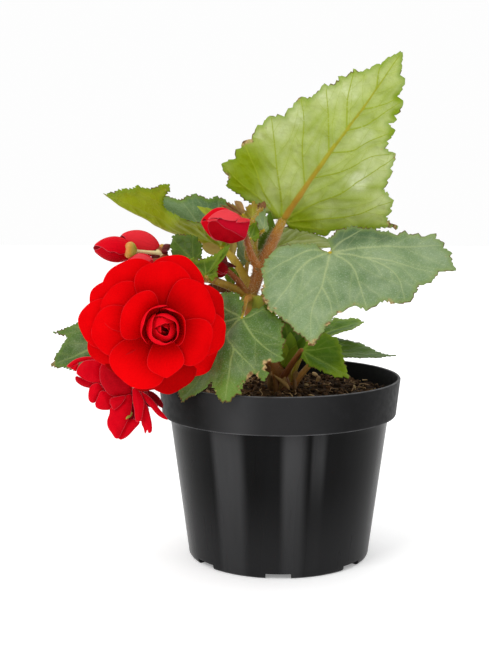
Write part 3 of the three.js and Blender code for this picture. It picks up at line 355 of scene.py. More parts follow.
# Main veins of the large leaves, in millimetres along and across the midrib. The first is the midrib.
MAIN_VEINS = {
    "leaf_upright": [
        [(0, 0), (47, 0.1), (79, 0.9), (111, 0.2)],
        [(1.3, -1.2), (10.7, -7.7), (22.7, -17.6), (33.9, -26.3), (43, -33.5)],
        [(0.4, -2), (7.4, -16.2), (14.7, -25.5), (22.3, -36)],
        [(0, -2.5), (3.1, -14.5), (4.8, -28), (7.3, -39.4)],
        [(2, 0.6), (16.2, 8.8), (28.4, 17.5), (41.2, 23.2), (54.4, 28.4), (60.6, 30.5)],
        [(0, 1), (8.8, 13.6), (20.3, 29.9), (33, 39.4), (39.4, 44.6)],
        [(-1, 1.5), (3.7, 15.2), (12.8, 32), (26.3, 50)],
        [(23.2, -0.5), (39, -12.1), (54, -20.5), (61.9, -27.2)],
        [(46.1, 0), (59.8, -9.1), (73.9, -19.7)],
        [(62.2, 0.5), (75.3, -7.7), (88.3, -12.9)],
        [(88.9, 0.8), (97.4, -3.6), (101, -4)],
        [(29.1, 0.3), (40.8, 11.7), (54, 19.2), (62.7, 28.5)],
        [(46.2, 0), (54.1, 9.8), (64.8, 15.3), (73.7, 21.9)],
        [(61.9, 0.6), (69.4, 7.6), (79, 11.4), (87.6, 14.5)],
        [(75.7, 0.8), (82.9, 8), (90, 12.5)],
    ],
    "leaf_right": [
        [(0, 0), (3.4, 1.2), (14.9, 4.9), (26.5, 7.4), (39.7, 9.7), (52, 12.6)],
        [(0.5, 0), (5, 0), (15.3, -0.2), (23.3, -1.9), (31.5, -6.3), (36.6, -11.9), (38.6, -18)],
        [(15.3, -0.2), (27.1, -0.3), (39, -2.1), (52, -3.7)],
        [(0.3, 0), (2.9, -1), (9.5, -4.9), (13.6, -10), (17.1, -18.9), (20.2, -28)],
        [(0, -0.3), (-0.2, -1.4), (-1, -12.1), (-2, -21.8), (-4.5, -30.5), (-5.3, -40.7), (-3.8, -54)],
        [(-2, -21.8), (2.5, -29), (5, -38)],
        [(-0.3, 0), (-1.9, -0.7), (-9.9, -6.7), (-15.2, -14.2), (-18.7, -24.2), (-23, -33.3)],
        [(-0.5, 0), (-5.4, 0.6), (-12.9, -1.3), (-22.2, -9.2), (-29.9, -17)],
        [(0, 0.4), (4.4, 6.6), (10.4, 12)],
        [(-2, 0.8), (-10, 5), (-19, 4)],
    ],
    "leaf_front": [
        [(0, 0), (6.1, -5.7), (12.4, -5.3), (18, -0.9), (24.7, -1.3), (35.3, -0.7), (45, -0.5)],
        [(18, -0.9), (23, 4.6), (27.4, 9.6), (33, 14)],
        [(0.3, 0.2), (4.3, 3), (10.6, 7.8), (15.8, 13.4), (19.9, 18.7), (23, 24)],
        [(0, 0.3), (-0.2, 3.5), (-3.5, 8.5), (-5.3, 11.9), (-4, 18)],
        [(-0.3, -0.3), (-2.2, -3.5), (-6.9, -10.9), (-12.4, -16.1)],
        [(0, -0.5), (0.5, -8), (0, -18), (-6, -26)],
        [(6.8, -6), (14.4, -9.6), (23.9, -13.8), (32.6, -18.7), (40, -26)],
    ],
}

# Dead patches at the edge of a leaf: along, across and radius.
DRY = {
    "leaf_upright": [(26.4, -38.5, 3.4), (5, -38, 2), (61, 30.3, 1.5), (28.4, 54, 4.2), (62, -28.6, 1.1),
                     (75, -23, 1)],
    "leaf_right": [(-30, -35, 3.4), (-27, -41, 4), (-32, -27, 2.4), (15.2, -28, 2.5), (33, -27, 3), (39.2, -26, 2.6),
                   (-3.7, -56, 2.6), (3.3, -43, 2.2), (8, -36, 1.6), (23, 43, 2)],
    "leaf_front": [(37.6, 9.5, 4), (34, 11.5, 3.4), (28.6, 17.5, 2.4), (26.4, 17.5, 2.4), (31, 10.6, 1.8),
                   (36, 20, 1.6), (-6, 14, 2), (43, 0, 1.2)],
    "leaf_upper_left": [(40.4, -20, 3), (36.6, -26, 2), (67, 0, 2)],
    "leaf_left": [(38, 0, 1.6)],
}

# Patches where a leaf is tinted: along, across and radius. A negative radius is a painted pale sheen patch.
# Most are a fuller yellow-green, partly the leaf's own colour and partly painted light through it.
TINTS_AND_PAINTED_LIGHT = {
    "leaf_upright": [(16, -33, 15), (6, -30, 14), (4, 30, 16), (14, 44, 14), (2, 8, 16), (91, 13, 4), (83, 18, 5),
                     (73, 23, 5), (60, 29, -11), (50, 25, -11), (40, 22, -9), (38, 40, -8), (44, -30, -12),
                     (53, -25, -9), (30, -37, -7), (73, -18, -11), (82, -9, -9), (64, 10, -8)],
    "leaf_upper_left": [(12, 8, 18), (26, 9, 18), (42, 10, 15), (54, 6, 9), (2, 3, 12)],
    # On the right leaf the patches are a painted shadow of the upright leaf over its upper lobe.
    "leaf_right": [(0, 9, 10), (7, 12, 10), (15, 14.5, 9), (25, 15.5, 8)],
    "leaf_front": [(44, 0, 12), (30, -30, 12), (38, 30, 12)],
    "leaf_low_right": [(28, 0, 12)],
}

# Mesh spacing in millimetres for each leaf; the ones seen large are the finest.
SPACING = {"leaf_upright": 0.78, "leaf_right": 0.7, "leaf_front": 0.62, "leaf_upper_left": 0.8, "leaf_left": 0.8,
           "leaf_low_right": 0.6, "leaf_small_mid": 0.55, "leaf_fold": 0.5}
LEAF_THICKNESS = 0.5


def rim_reach(rim):
    """The rim's distance from the stalk at any angle round it, in degrees."""
    angles = np.maximum.accumulate([a for a, _ in rim])
    reach = np.array([r for _, r in rim])

    def at(theta):
        theta = np.where(theta > angles[-1], theta - 360, theta)
        outside = (theta < angles[0]) | (theta > angles[-1])
        return np.where(outside, 0.0, np.interp(theta, angles, reach))

    return at


def leaf_outline(rim, spacing, seed):
    """The leaf's edge with a large tooth at each rim point and small ones between."""
    draw = random.Random(seed)
    polar = [(r * math.cos(a * DEG), r * math.sin(a * DEG)) for a, r in rim]
    tip = max(range(len(rim)), key=lambda i: rim[i][1])
    out = []
    # A run shorter than this has no teeth added: the points of a long rim already give the teeth.
    plain = 4.2 if len(rim) > 60 else 2.4
    shortest_tooth, longest_tooth = 2.2, 3.4
    step = 0.7 * spacing
    for i, (a, b) in enumerate(zip(polar[:-1], polar[1:])):
        length = math.dist(a, b)
        if length < plain:
            steps = max(1, round(length / step))
            out += [(a[0] + (b[0] - a[0]) * k / steps, a[1] + (b[1] - a[1]) * k / steps) for k in range(steps)]
            continue
        inward = min(0.8, 0.12 * length)
        notch = ((a[0] + b[0]) / 2 - inward * (b[1] - a[1]) / length,
                 (a[1] + b[1]) / 2 + inward * (b[0] - a[0]) / length)
        for start, end in ((a, notch), (notch, b)):
            dx, dy = end[0] - start[0], end[1] - start[1]
            run = math.hypot(dx, dy)
            teeth = max(1, round(run / draw.uniform(shortest_tooth, longest_tooth)))
            steps = max(3, round(run / teeth / step))
            for k in range(teeth):
                height = draw.uniform(0.75, 1.6) * min(1, run / teeth / shortest_tooth)
                for j in range(steps):
                    t = j / steps
                    rise = t if i < tip else 1 - t
                    lift = height * rise**1.4 / run if j else 0
                    s = (k + t) / teeth
                    out.append((start[0] + dx * s + dy * lift, start[1] + dy * s - dx * lift))
    out.append(polar[-1])
    # The notch at the stalk: two sides drawn in to it on soft curves.
    first, last = np.array(out[0]), np.array(out[-1])
    sides = []
    for corner, turn in ((last, 1), (first, -1)):
        count = max(3, int(np.linalg.norm(corner) / spacing))
        t = np.linspace(0, 1, count + 1)[1:-1][:, None]
        bow = np.array([corner[1], -corner[0]]) * turn * 0.1
        sides.append((1 - t) * corner + bow * np.sin(math.pi * t))
    return np.vstack([out, sides[0], [[0.0, 0.0]], sides[1][::-1]])


def vein_network(rim, mains, length, seed):
    """Veins as lines of (along, across, half width): the mains, side veins off them and finer ones."""
    draw = random.Random(seed)
    reach = rim_reach(rim)
    inside = lambda q, share=0.97: math.hypot(*q) < share * float(reach(np.degrees(math.atan2(q[1], q[0]))))
    taken = []
    veins = []

    def keep(line, wide, thin, level, taper):
        s = np.linspace(0, 1, len(line))
        veins.append((np.column_stack([line, wide + (thin - wide) * s**taper]), level))
        taken.extend(map(tuple, line))

    girth = min(1.0, 0.35 + length / 90)
    for i, points in enumerate(mains):
        line = smooth_line(points, 1.0)
        while inside(line[-1]) and len(line) < 400:
            line = np.vstack([line, line[-1] + unit(line[-1] - line[-3]) * 1.0])
        line = line[: max(4, next((k for k in range(4, len(line)) if not inside(line[k], 0.985)), len(line)))]
        from_stalk = np.hypot(*line[0]) < 4
        wide = (1.75 if i == 0 else 1.0) if from_stalk else 0.7
        keep(line, wide * girth, 0.16, 0, 0.95 if i == 0 else 0.75)

    def branch(start, heading, wide, turn, level):
        """One finer vein, which ends at the rim or where it meets another."""
        stride, meeting = 0.9, 1.2
        q = np.array(start, float)
        line = [q.copy()]
        others = np.array(taken)
        for step in range(90):
            heading += turn * DEG + draw.uniform(-3, 3) * DEG
            q = q + np.array([math.cos(heading), math.sin(heading)]) * stride
            if not inside(q):
                break
            line.append(q.copy())
            if step > 4 and np.min(np.hypot(others[:, 0] - q[0], others[:, 1] - q[1])) < meeting:
                break
        if len(line) > 4:
            keep(np.array(line), min(wide, 0.3), 0.08, level, 0.7)

    # Level, millimetres between side veins, their spread in degrees, their share of the width, the least share
    # of the spacing that is kept, and how far they bend at each step.
    for level, every, spread, share, least, bend in ((1, 10.5, 40, 0.5, 0.6, 0.8), (2, 6.0, 58, 0.6, 0.55, 0.3)):
        gap = every * (0.6 + 0.4 * girth)
        for line, own in list(veins):
            if own != level - 1:
                continue
            run = 0.0
            side = 1 if draw.random() < 0.5 else -1
            for k in range(3, len(line) - 4):
                run += 1.0
                if run < gap * least:
                    continue
                run = draw.uniform(-0.12, 0.12) * gap
                side = -side
                ahead = line[k + 2, :2] - line[k - 2, :2]
                heading = math.atan2(ahead[1], ahead[0]) + side * spread * DEG
                branch(line[k, :2], heading, line[k, 2] * share, -side * bend, level)
    return veins


def leaf_frame(spec):
    """A leaf's foot, the ways along, across and out of its upper side, and its length."""
    at, tip, face = (np.array(v, float) for v in spec[:3])
    face = unit(face)
    run = tip - at
    along = unit(run - face * run.dot(face))
    return at, along, np.cross(face, along), face, float(np.linalg.norm(run))


def leaf_surface(spec, xy):
    """Places on the leaf's middle surface from places in its plane."""
    at, along, side, face, length = leaf_frame(spec)
    droop, wave, fold = spec[3:6]
    x, y = xy[:, 0], xy[:, 1]
    heel = fold[2] if len(fold) > 2 else fold[1]
    angle = np.where(y > 0, heel + (fold[1] - heel) * eased(x, 0.38 * length, 0.5 * length), fold[0]) * DEG
    reach = np.sqrt(y * y + 2.25) - 1.5
    bend = droop * DEG * x * np.abs(x) / (2 * length)
    rise = np.minimum(1, np.hypot(x, y) / length)
    lift = wave * rise * rise * np.sin(5 * np.arctan2(y, x) + length)
    height = reach * np.sin(angle) - bend + lift
    return at + np.outer(x, along) + np.outer(y * np.cos(angle), side) + np.outer(height, face)


def leaf_normals(spec, xy):
    step = 0.05
    dx, dy = np.array([[step, 0]]), np.array([[0, step]])
    along = leaf_surface(spec, xy + dx) - leaf_surface(spec, xy - dx)
    across = leaf_surface(spec, xy + dy) - leaf_surface(spec, xy - dy)
    return unit(np.cross(along, across))


def within(loop, points):
    """Which of the points lie inside the closed loop."""
    a, b = loop, np.roll(loop, -1, axis=0)
    crosses = (a[:, 1] > points[:, 1:]) != (b[:, 1] > points[:, 1:])
    rise = np.where(a[:, 1] == b[:, 1], 1e-9, b[:, 1] - a[:, 1])
    at = a[:, 0] + (points[:, 1:] - a[:, 1]) * (b[:, 0] - a[:, 0]) / rise
    return np.sum(crosses & (points[:, :1] < at), axis=1) % 2 == 1


def nearest(tree, xy):
    """For each place the number of the nearest point in the tree and how far off it is."""
    return np.array([tree.find((x, y, 0))[1:] for x, y in xy])


def tree_of(points):
    tree = kdtree.KDTree(len(points))
    for i, p in enumerate(points):
        tree.insert((p[0], p[1], 0), i)
    tree.balance()
    return tree


def triangulated(rim, inner):
    """A flat shape's places and triangles, all turned one way, from its closed rim and the places inside it."""
    corners = [Vector(p) for p in np.vstack([rim, inner])]
    edges = [(i, (i + 1) % len(rim)) for i in range(len(rim))]
    flat, _, triangles, _, _, _ = geometry.delaunay_2d_cdt(corners, edges, [], 1, 1e-4)
    xy = np.array([(v.x, v.y) for v in flat])
    triangles = np.array(triangles)
    a, b, c = (xy[triangles[:, k]] for k in range(3))
    turn = (b[:, 0] - a[:, 0]) * (c[:, 1] - a[:, 1]) - (b[:, 1] - a[:, 1]) * (c[:, 0] - a[:, 0])
    triangles[turn < 0] = triangles[turn < 0][:, ::-1]
    return xy, triangles


def two_sided(triangles, count):
    """The faces of a thin sheet: one side, the other side and the wall between their rims."""
    uses = dict.fromkeys((t[i], t[(i + 1) % 3]) for t in triangles for i in range(3))
    faces = [tuple(t) for t in triangles] + [(t[0] + count, t[2] + count, t[1] + count) for t in triangles]
    return faces + [(j, i, i + count, j + count) for i, j in uses if (j, i) not in uses]


def twice(values):
    """The same numbers for both sides of a sheet."""
    return np.concatenate([values.ravel(), values.ravel()])


def default_mains(rim):
    """A midrib and side ribs fanned out to the rim, for a leaf whose veins aren't set out one by one."""
    low, high = rim[0][0], rim[-1][0]
    reach = rim_reach(rim)
    mains = [[(0, 0), (0.9 * float(reach(np.array(0.0))), 0.3)]]
    for angle in (-38, 40, -78, 80, -120, 122):
        if low + 12 < angle < high - 12:
            r = 0.9 * float(reach(np.array(float(angle))))
            bent = (angle * 0.8) * DEG
            mains.append([(0, 0), (0.45 * r * math.cos(bent * 1.12), 0.45 * r * math.sin(bent * 1.12)),
                          (r * math.cos(angle * DEG), r * math.sin(angle * DEG))])
    return mains


def leaf_places(outline, veins, spacing, border):
    """Places inside a leaf: on the veins' crests and flanks, so that the mesh follows them, and evenly between."""
    crest, flank = [], []
    for line, level in veins:
        if level > 1:
            continue
        fine = smooth_line(line, 0.9 * spacing)
        ahead = unit(np.gradient(fine[:, :2], axis=0) + 1e-9)
        off = np.column_stack([-ahead[:, 1], ahead[:, 0]])
        crest.extend(fine[1:])
        for sign in (-1, 1):
            flank.extend((fine[:, :2] + sign * off * (fine[:, 2:3] * 1.15 + 0.14))[1:])
    low, high = outline.min(axis=0), outline.max(axis=0)
    between = [(x + (0.5 * spacing if k % 2 else 0), y)
               for k, y in enumerate(np.arange(low[1], high[1], spacing * 0.87))
               for x in np.arange(low[0], high[0], spacing)]
    placed, filled = [], {}
    cell = 0.5 * spacing
    around = [(i, j) for i in range(-2, 3) for j in range(-2, 3)]
    # Each group keeps clear of the places before it and of the edge, by these shares of the spacing.
    for points, clear, edge_clear in ((crest, 0.45, 0.4), (flank, 0.28, 0.4), (between, 0.72, 0.5)):
        points = np.asarray(points)[:, :2]
        least = (clear * spacing) ** 2
        for (x, y), away, ok in zip(points, nearest(border, points)[:, 1], within(outline, points)):
            if away < edge_clear * spacing or not ok:
                continue
            i, j = int(math.floor(x / cell)), int(math.floor(y / cell))
            if not any((qx - x) ** 2 + (qy - y) ** 2 < least
                       for di, dj in around for qx, qy in filled.get((i + di, j + dj), ())):
                filled.setdefault((i, j), []).append((x, y))
                placed.append((x, y))
    return placed


# How strongly a main vein, a side vein and a fine one show: raised below, and as a thin line above.
VEIN_BELOW = np.array([1.0, 0.5, 0.2])
VEIN_ABOVE = np.array([1.0, 0.3, 0.12])
VEIN_STEP = 0.35


def make_leaf(name, finishes):
    spec = LEAVES[name]
    rim, tone = spec[7], spec[6]
    length = leaf_frame(spec)[4]
    seed = sum(map(ord, name))
    large = length > 25
    spacing = SPACING.get(name, 0.9 if large else 0.55)
    outline = leaf_outline(rim, spacing, seed)
    veins = vein_network(rim, MAIN_VEINS.get(name) or default_mains(rim), length, seed)
    border = tree_of(smooth_line(np.vstack([outline, outline[:1]]), 0.4))
    xy, triangles = triangulated(outline, leaf_places(outline, veins, spacing, border))
    count = len(xy)
    x, y = xy[:, 0], xy[:, 1]

    def close_to(lines):
        """The nearest point of these veins to each place in the leaf, how far off it is and its half width."""
        points = np.vstack(lines)
        found = nearest(tree_of(points), xy)
        number = found[:, 0].astype(int)
        return number, found[:, 1], points[number, 2]

    fine = [(smooth_line(line, VEIN_STEP), level) for line, level in veins]
    number, away, half = close_to([line for line, _ in fine])
    level = np.concatenate([np.full(len(line), level) for line, level in fine])[number]
    _, rib, rib_half = close_to([line for line, level in fine if level < 2])
    _, midrib, midrib_half = close_to([fine[0][0]])
    edge = nearest(border, xy)[:, 1]

    # The blade: veins raised below, the skin puckered up between them, and a thinner edge.
    swell = lambda gone, wide, height: np.sqrt(np.clip(1 - (gone / (1.15 * wide)) ** 2, 0, 1)) * wide * height
    ridge = np.maximum(swell(rib, rib_half, 0.7), swell(midrib, midrib_half, 1.0))
    inner = eased(edge, 0.2, 5)
    pillow = (1 - np.exp(-((rib / 2.8) ** 2))) * inner * (0.7 if large else 0.3)
    places = np.column_stack([xy, np.zeros(count)])
    ripple = 0.6 * wobble(places, 0.08, seed) + 0.22 * wobble(places, 0.24, seed + 3)
    ripple = ripple * inner * min(1.0, length / 45)
    middle = leaf_surface(spec, xy)
    out = leaf_normals(spec, xy)
    thick = LEAF_THICKNESS * (0.45 + 0.55 * eased(edge, 0, 1.6)) / 2
    from_stalk = np.hypot(x, y)
    upper = middle + out * (thick + pillow + ripple - 0.12 * ridge * eased(from_stalk, 0, 9))[:, None]
    lower = middle - out * (thick - pillow - ripple + 0.95 * ridge)[:, None]

    dry = np.zeros(count)
    ragged = 0.85 + 0.6 * wobble(places, 0.6, seed + 1)
    for along, across, radius in DRY.get(name, ()):
        patch = 1 - eased(np.hypot(x - along, y - across) / (radius * ragged), 0.7, 1.1)
        dry = np.maximum(dry, patch * (1 - eased(edge, 0.35 * radius, 0.75 * radius)))
    # Patch tint, partly colour and partly painted light and shadow; negative values mark painted pale sheen.
    glow = np.zeros(count)
    for along, across, radius in TINTS_AND_PAINTED_LIGHT.get(name, ()):
        near_by = 1 - eased(np.hypot(x - along, y - across) / abs(radius), 0.1 if radius < 0 else 0.3, 1.2)
        pale = np.where(glow > 0.1, glow, np.minimum(glow, -near_by))
        glow = np.maximum(glow, near_by) if radius > 0 else pale
    on_midrib = 1 - eased(midrib, midrib_half * 0.75, midrib_half * 1.1 + 0.1)
    below = (1 - eased(away, half * 0.7 + 0.02, half * 1.1 + 0.2)) * VEIN_BELOW[level]
    above = (1 - eased(away, 0.1 + 0.2 * half, 0.34 + 0.35 * half)) * VEIN_ABOVE[level]
    piece_from(
        name + "_blade", np.vstack([upper, lower]), two_sided(triangles, count), finishes[tone], finishes[tone].slot,
        (name,), vein=np.concatenate([above, np.maximum(below, on_midrib)]),
        halo=twice(np.exp(-(np.minimum(rib, midrib) / (0.9 + 1.4 * rib_half)))), glow=twice(glow),
        margin=twice(np.minimum(edge, 8)), dry=twice(dry), far=twice(from_stalk / length),
        rib=twice(np.clip((midrib_half - 0.25) / 0.35, 0, 1) * on_midrib),
        under=np.concatenate([np.zeros(count), np.ones(count)]))


def leaf_finish(name, slot, upper, upper_vein, under, under_vein, glow, margin,
                down=0.0, roughness=0.5, clear=0.5, warm=0.55, dust=1.0):
    """Upper and under side colours as (shaded, lit), veins a shade of their own, a tinted and browned margin.

    down is how downy the upper side is, clear how clearly its veins show, warm how much of the patch tint and painted
    light its upper side takes, and dust how much painted sheen and pale speckle lies on the underside.
    """
    f = Finish(name, roughness, Specular_IOR_Level=0.16)
    f.slot = slot
    patches = f.steps(f.noise(48, 3.0), 0.33, 0.68)
    sheen = f.steps(f.noise(85, 3.0, 0.5), 0.42, 0.75)
    fine = f.noise(1500, 2.0, 0.6)
    speck = f.steps(f.noise(1500, 3.0, 0.75), 0.5, 0.68)
    veinlets = f.steps(f.cells(300, warp=0.002), 0.0, 0.09, 1.0, 0.0)
    vein = f.attribute("vein")
    halo = f.attribute("halo")
    far = f.attribute("far")
    tint = f.attribute("glow")

    top = f.mix(patches, upper[0], upper[1])
    # Painted sheen on the upper side, whitish on downy leaves.
    top = f.mix(f.times(sheen, 0.05 + 0.16 * down), top, "#b4bfa2" if down else "#86a050")
    top = f.mix(f.times(speck, 0.04 + 0.3 * down), top, "#bac6ae" if down else "#86a050")
    top = f.mix(f.times(veinlets, 0.06), top, upper_vein)
    top = f.mix(f.times(halo, 0.12), top, upper_vein)
    # Patch tint on the upper side, partly colour and partly painted light, and painted shadow on the right leaf.
    top = f.mix(f.times(tint, warm), top, glow)
    top = f.mix(f.times(vein, f.steps(far, 0.1, 1.0, clear, clear * 0.45)), top, upper_vein)

    low = f.mix(patches, under[0], under[1])
    # Painted whitish sheen, a painted pale sheen away from the veins, then pale speckles, all scaled by dust.
    low = f.mix(f.times(sheen, 0.12 * dust), low, "#d6deba")
    low = f.mix(f.times(f.steps(halo, 0.03, 0.5, 1.0, 0.0), 0.12 * dust), low, "#c9d2a6")
    low = f.mix(f.times(speck, 0.1 * dust), low, "#d6dcb4")
    # Painted pale sheen where a patch's radius is negative, stronger where the sheen noise is high.
    painted_sheen_patches = f.times(f.steps(tint, -1.0, 0.0, 1.0, 0.0), f.steps(sheen, 0.0, 1.0, 0.25, 0.6))
    low = f.mix(painted_sheen_patches, low, "#dde6bc")
    # Patch tint on the underside, partly colour and partly painted light.
    low = f.mix(tint, low, glow)
    low = f.mix(f.times(veinlets, 0.12), low, under_vein[0])
    low = f.mix(f.steps(vein, 0.0, 0.9, 0.0, 0.9), low, under_vein[0])
    rib = f.mix(f.steps(far, 0.05, 0.5), under_vein[1], under_vein[2])
    low = f.mix(f.times(f.attribute("rib"), 0.95), low, rib)

    both = f.mix(f.attribute("under"), top, low)
    edge = f.attribute("margin")
    both = f.mix(f.steps(edge, 0.2, 3.2, 0.6, 0.0), both, margin)
    spots = f.steps(f.noise(150, 2.0), 0.54 - 0.08 * down, 0.62 - 0.06 * down)
    brown = f.times(spots, f.steps(edge, 0.1, 0.75, 0.85, 0.0))
    both = f.mix(brown, both, "#5a3a1c")
    dead = f.mix(f.steps(f.noise(420, 3.0), 0.35, 0.62), "#5e3f1e", "#bba06c")
    both = f.mix(f.attribute("dry"), both, dead)
    f.colour(both)
    f.roughness(f.steps(fine, 0.3, 0.8, roughness - 0.08, roughness + 0.12))
    f.bump((fine, 0.2, 0.1), (veinlets, 0.45, 0.2))
    return f


LEAF_FINISHES = {
    "underside": leaf_finish(
        "leaf underside out", "leaf_underside", ("#4d6a2e", "#6a8244"), "#b0bb78", ("#94a648", "#a8b760"),
        ("#8fa022", "#a87c26", "#a09a26"), "#7d9204", "#6f8c10", 0.2, 0.42),
    # The grey leaves' patch colour is a dark green: painted shadow.
    "grey": leaf_finish(
        "leaf grey green", "leaf_grey_green", ("#5f7a4e", "#799064"), "#bcc68c", ("#8b9b55", "#a3ad70"),
        ("#98a050", "#987a48", "#a39a50"), "#2e4a2a", "#7c8f4c", 1.0, 0.6, 0.38, 0.6),
    "green": leaf_finish(
        "leaf green", "leaf_green", ("#385618", "#4e6c2a"), "#9aab66", ("#6f8440", "#8a9a58"),
        ("#8a953e", "#8a7040", "#8f8f44"), "#6a8a2c", "#5c7826", 0.55, 0.52, 0.6),
    "folded": leaf_finish(
        "leaf folded", "leaf_underside", ("#48683a", "#637e4c"), "#95a670", ("#748802", "#8a980a"),
        ("#a5a53c", "#ab9a34", "#a5a544"), "#889602", "#6c8a10", 0.5, 0.48, 0.5, 0.95, 0.25),
    "bright": leaf_finish(
        "leaf bright", "leaf_bright", ("#355808", "#4f7410"), "#8fa848", ("#66881f", "#839c3c"),
        ("#7f9830", "#7f7a30", "#84983c"), "#7f9a0c", "#7f9a1c", 0.0, 0.42, 0.6, 0.7),
    "dark": leaf_finish(
        "leaf shaded", "leaf_green", ("#2c4802", "#436008"), "#788f34", ("#52701f", "#6a8430"),
        ("#708530", "#706c30", "#728538"), "#6a8420", "#54701a", 0.0, 0.44, 0.35),
    "young": leaf_finish(
        "leaf young", "leaf_young", ("#8f8c10", "#b4a81c"), "#c4bc4a", ("#98980e", "#bcae1e"),
        ("#a49a2a", "#98783a", "#98903a"), "#a89c14", "#96702e", 0.1, 0.5, 0.4),
}
for leaf in LEAVES:
    make_leaf(leaf, LEAF_FINISHES)


TINY = 1e-3


def thin_sheet(middle, offset, flip, back, margin, run, across):
    """A grid of places as a thin closed sheet: points, faces and the numbers at each point for its finish.

    flip turns the faces when the grid runs the other way round. back is 1 for a side that is a petal's back.
    """
    first, second = (middle + offset).reshape(-1, 3), (middle - offset).reshape(-1, 3)
    n = len(first)
    rows, cols = middle.shape[:2]
    long, wide = rows - 1, cols - 1
    faces = []
    for i in range(long):
        for j in range(wide):
            q = (i * cols + j, (i + 1) * cols + j, (i + 1) * cols + j + 1, i * cols + j + 1)
            q = q[::-1] if flip else q
            faces += [q, tuple(k + n for k in q[::-1])]
    rim = [i * cols for i in range(long)] + [long * cols + j for j in range(wide)]
    rim += [i * cols + wide for i in range(long, 0, -1)] + list(range(wide, 0, -1))
    for q, r in zip(rim, rim[1:] + rim[:1]):
        wall = (r, q, q + n, r + n)
        faces.append(wall[::-1] if flip else wall)
    return np.vstack([first, second]), faces, {
        "margin": twice(margin), "run": twice(run), "across": twice(across), "back": np.repeat(back, n)}


def petal_sheet(foot, tip, inner, half, belly, cup, point, seed, long=26, wide=18, ruffle=0.5, curl=0.0, thick=0.45,
                waist=0.5):
    """A petal from its foot to its tip, its inner side facing one way, with a belly, a cupped and ruffled edge."""
    foot, tip, inner = (np.asarray(v, float) for v in (foot, tip, inner))
    run = tip - foot
    face = unit(inner - run * inner.dot(run) / run.dot(run))
    side = unit(np.cross(face, run))
    size = float(np.linalg.norm(run))
    draw = random.Random(seed)
    phases = [draw.uniform(0, 6.28) for _ in range(4)]
    lean = draw.uniform(-0.12, 0.12)

    def place(s, t):
        bow = np.clip(np.sin(math.pi * np.clip(s, 0, 1) ** 1.5), 0, 1)
        width = np.maximum(np.where(s < 0.63, bow**waist, bow**point), 0.1 * (1 - s) + 0.01)
        out = width * t
        wave = ruffle * s**2 * np.abs(out) * np.sin(6 * s + 2.2 * out + phases[0])
        wave = wave + 0.7 * ruffle * s**3 * np.sin(5 * out + phases[1])
        fan = ruffle * 0.55 * np.sin(out * 4.6 + phases[2]) * np.sin(math.pi * np.clip(s, 0, 1)) ** 1.5
        crease = -(0.5 + 0.5 * math.sin(phases[3])) * np.exp(-(((out - lean) / 0.13) ** 2)) * s * (1 - 0.7 * s)
        roll = np.clip((s - 0.6) / 0.4, 0, 1) ** 2 + 0.6 * np.clip((np.abs(out) - 0.55) / 0.45, 0, 1) ** 2
        height = cup * width * t * t - belly * 4 * s * (1 - s) + wave + fan + crease - curl * roll
        reach = s + 0.015 * np.sin(4 * out + phases[1]) * s**3 * (1 - out**2)
        return foot + reach[..., None] * run + (half * out)[..., None] * side + height[..., None] * face

    a = np.sin(np.linspace(0, 1, long + 1) * math.pi / 2)
    b = np.sin(np.linspace(-1, 1, wide + 1) * math.pi / 2)
    s, t = np.meshgrid(a, b, indexing="ij")
    p = place(s, t)
    along = place(np.clip(s + TINY, 0, 1), t) - place(np.clip(s - TINY, 0, 1), t)
    normal = unit(np.cross(along, place(s, t + TINY) - place(s, t - TINY)) + 1e-12)
    flip = float((normal[long // 2, wide // 2] * face).sum()) < 0
    normal = -normal if flip else normal
    rim = np.minimum(1 - np.abs(t), (1 - s) * size / half)
    body = thick * (0.35 + 0.65 * eased(rim, 0, 0.35))[..., None] / 2
    width = half * np.sqrt(np.sin(math.pi * np.clip(s, 0.02, 0.97) ** 1.5))
    margin = np.minimum((1 - np.abs(t)) * width, (1 - s) * size)
    return thin_sheet(p, normal * body, flip, (0, 1), margin, s, t)


def rolled_sheet(centre, axis, radius, start, sweep, low, high, mouth, lip, seed):
    """A petal rolled round an axis: a patch of a barrel that closes in towards its mouth."""
    right = unit(np.array([1.0, 0, 0]) - axis * axis[0])
    up = np.cross(axis, right)
    phase = random.Random(seed).uniform(0, 6.28)

    def place(s, u):
        turn = (start + sweep * u) * DEG
        ends = np.sin(math.pi * np.clip(u, 0, 1)) ** 0.45
        z = low + (high - low) * s * (0.42 + 0.58 * ends) * (1 + 0.04 * np.sin(9 * u + phase))
        w = np.clip((z - low) / (high - low), 0, 1)
        barrel = 0.55 + 0.45 * np.sin(math.pi * np.clip(w * 0.62, 0, 1))
        closing = 1 - (1 - mouth) * eased(w, 0.35, 1.0)
        r = radius * barrel * closing * (1 - 0.1 * u) + lip * eased(w, 0.8, 1.0)
        r = r * (1 + 0.05 * np.cos(5 * turn + phase) * eased(w, 0.45, 1.0))
        return centre + (r * np.cos(turn))[..., None] * right + (r * np.sin(turn))[..., None] * up + z[..., None] * axis

    s, u = np.meshgrid(np.linspace(0, 1, 17), np.linspace(0, 1, 29), indexing="ij")
    p = place(s, u)
    normal = unit(np.cross(place(s + TINY, u) - place(s - TINY, u), place(s, u + TINY) - place(s, u - TINY)) + 1e-12)
    rim = np.minimum(np.minimum(u, 1 - u) * 4, (1 - s) * 3)
    body = 0.45 * (0.4 + 0.6 * eased(rim, 0, 0.8))[..., None] / 2
    outward = np.sum(normal * (p - centre - np.sum((p - centre) * axis, axis=-1, keepdims=True) * axis), axis=-1)
    back = (1, 0) if float(outward.mean()) > 0 else (0, 1)
    margin = np.minimum(np.minimum(u, 1 - u) * sweep * DEG * radius, (1 - s) * (high - low))
    return thin_sheet(p, normal * body, False, back, margin, s, 2 * u - 1)


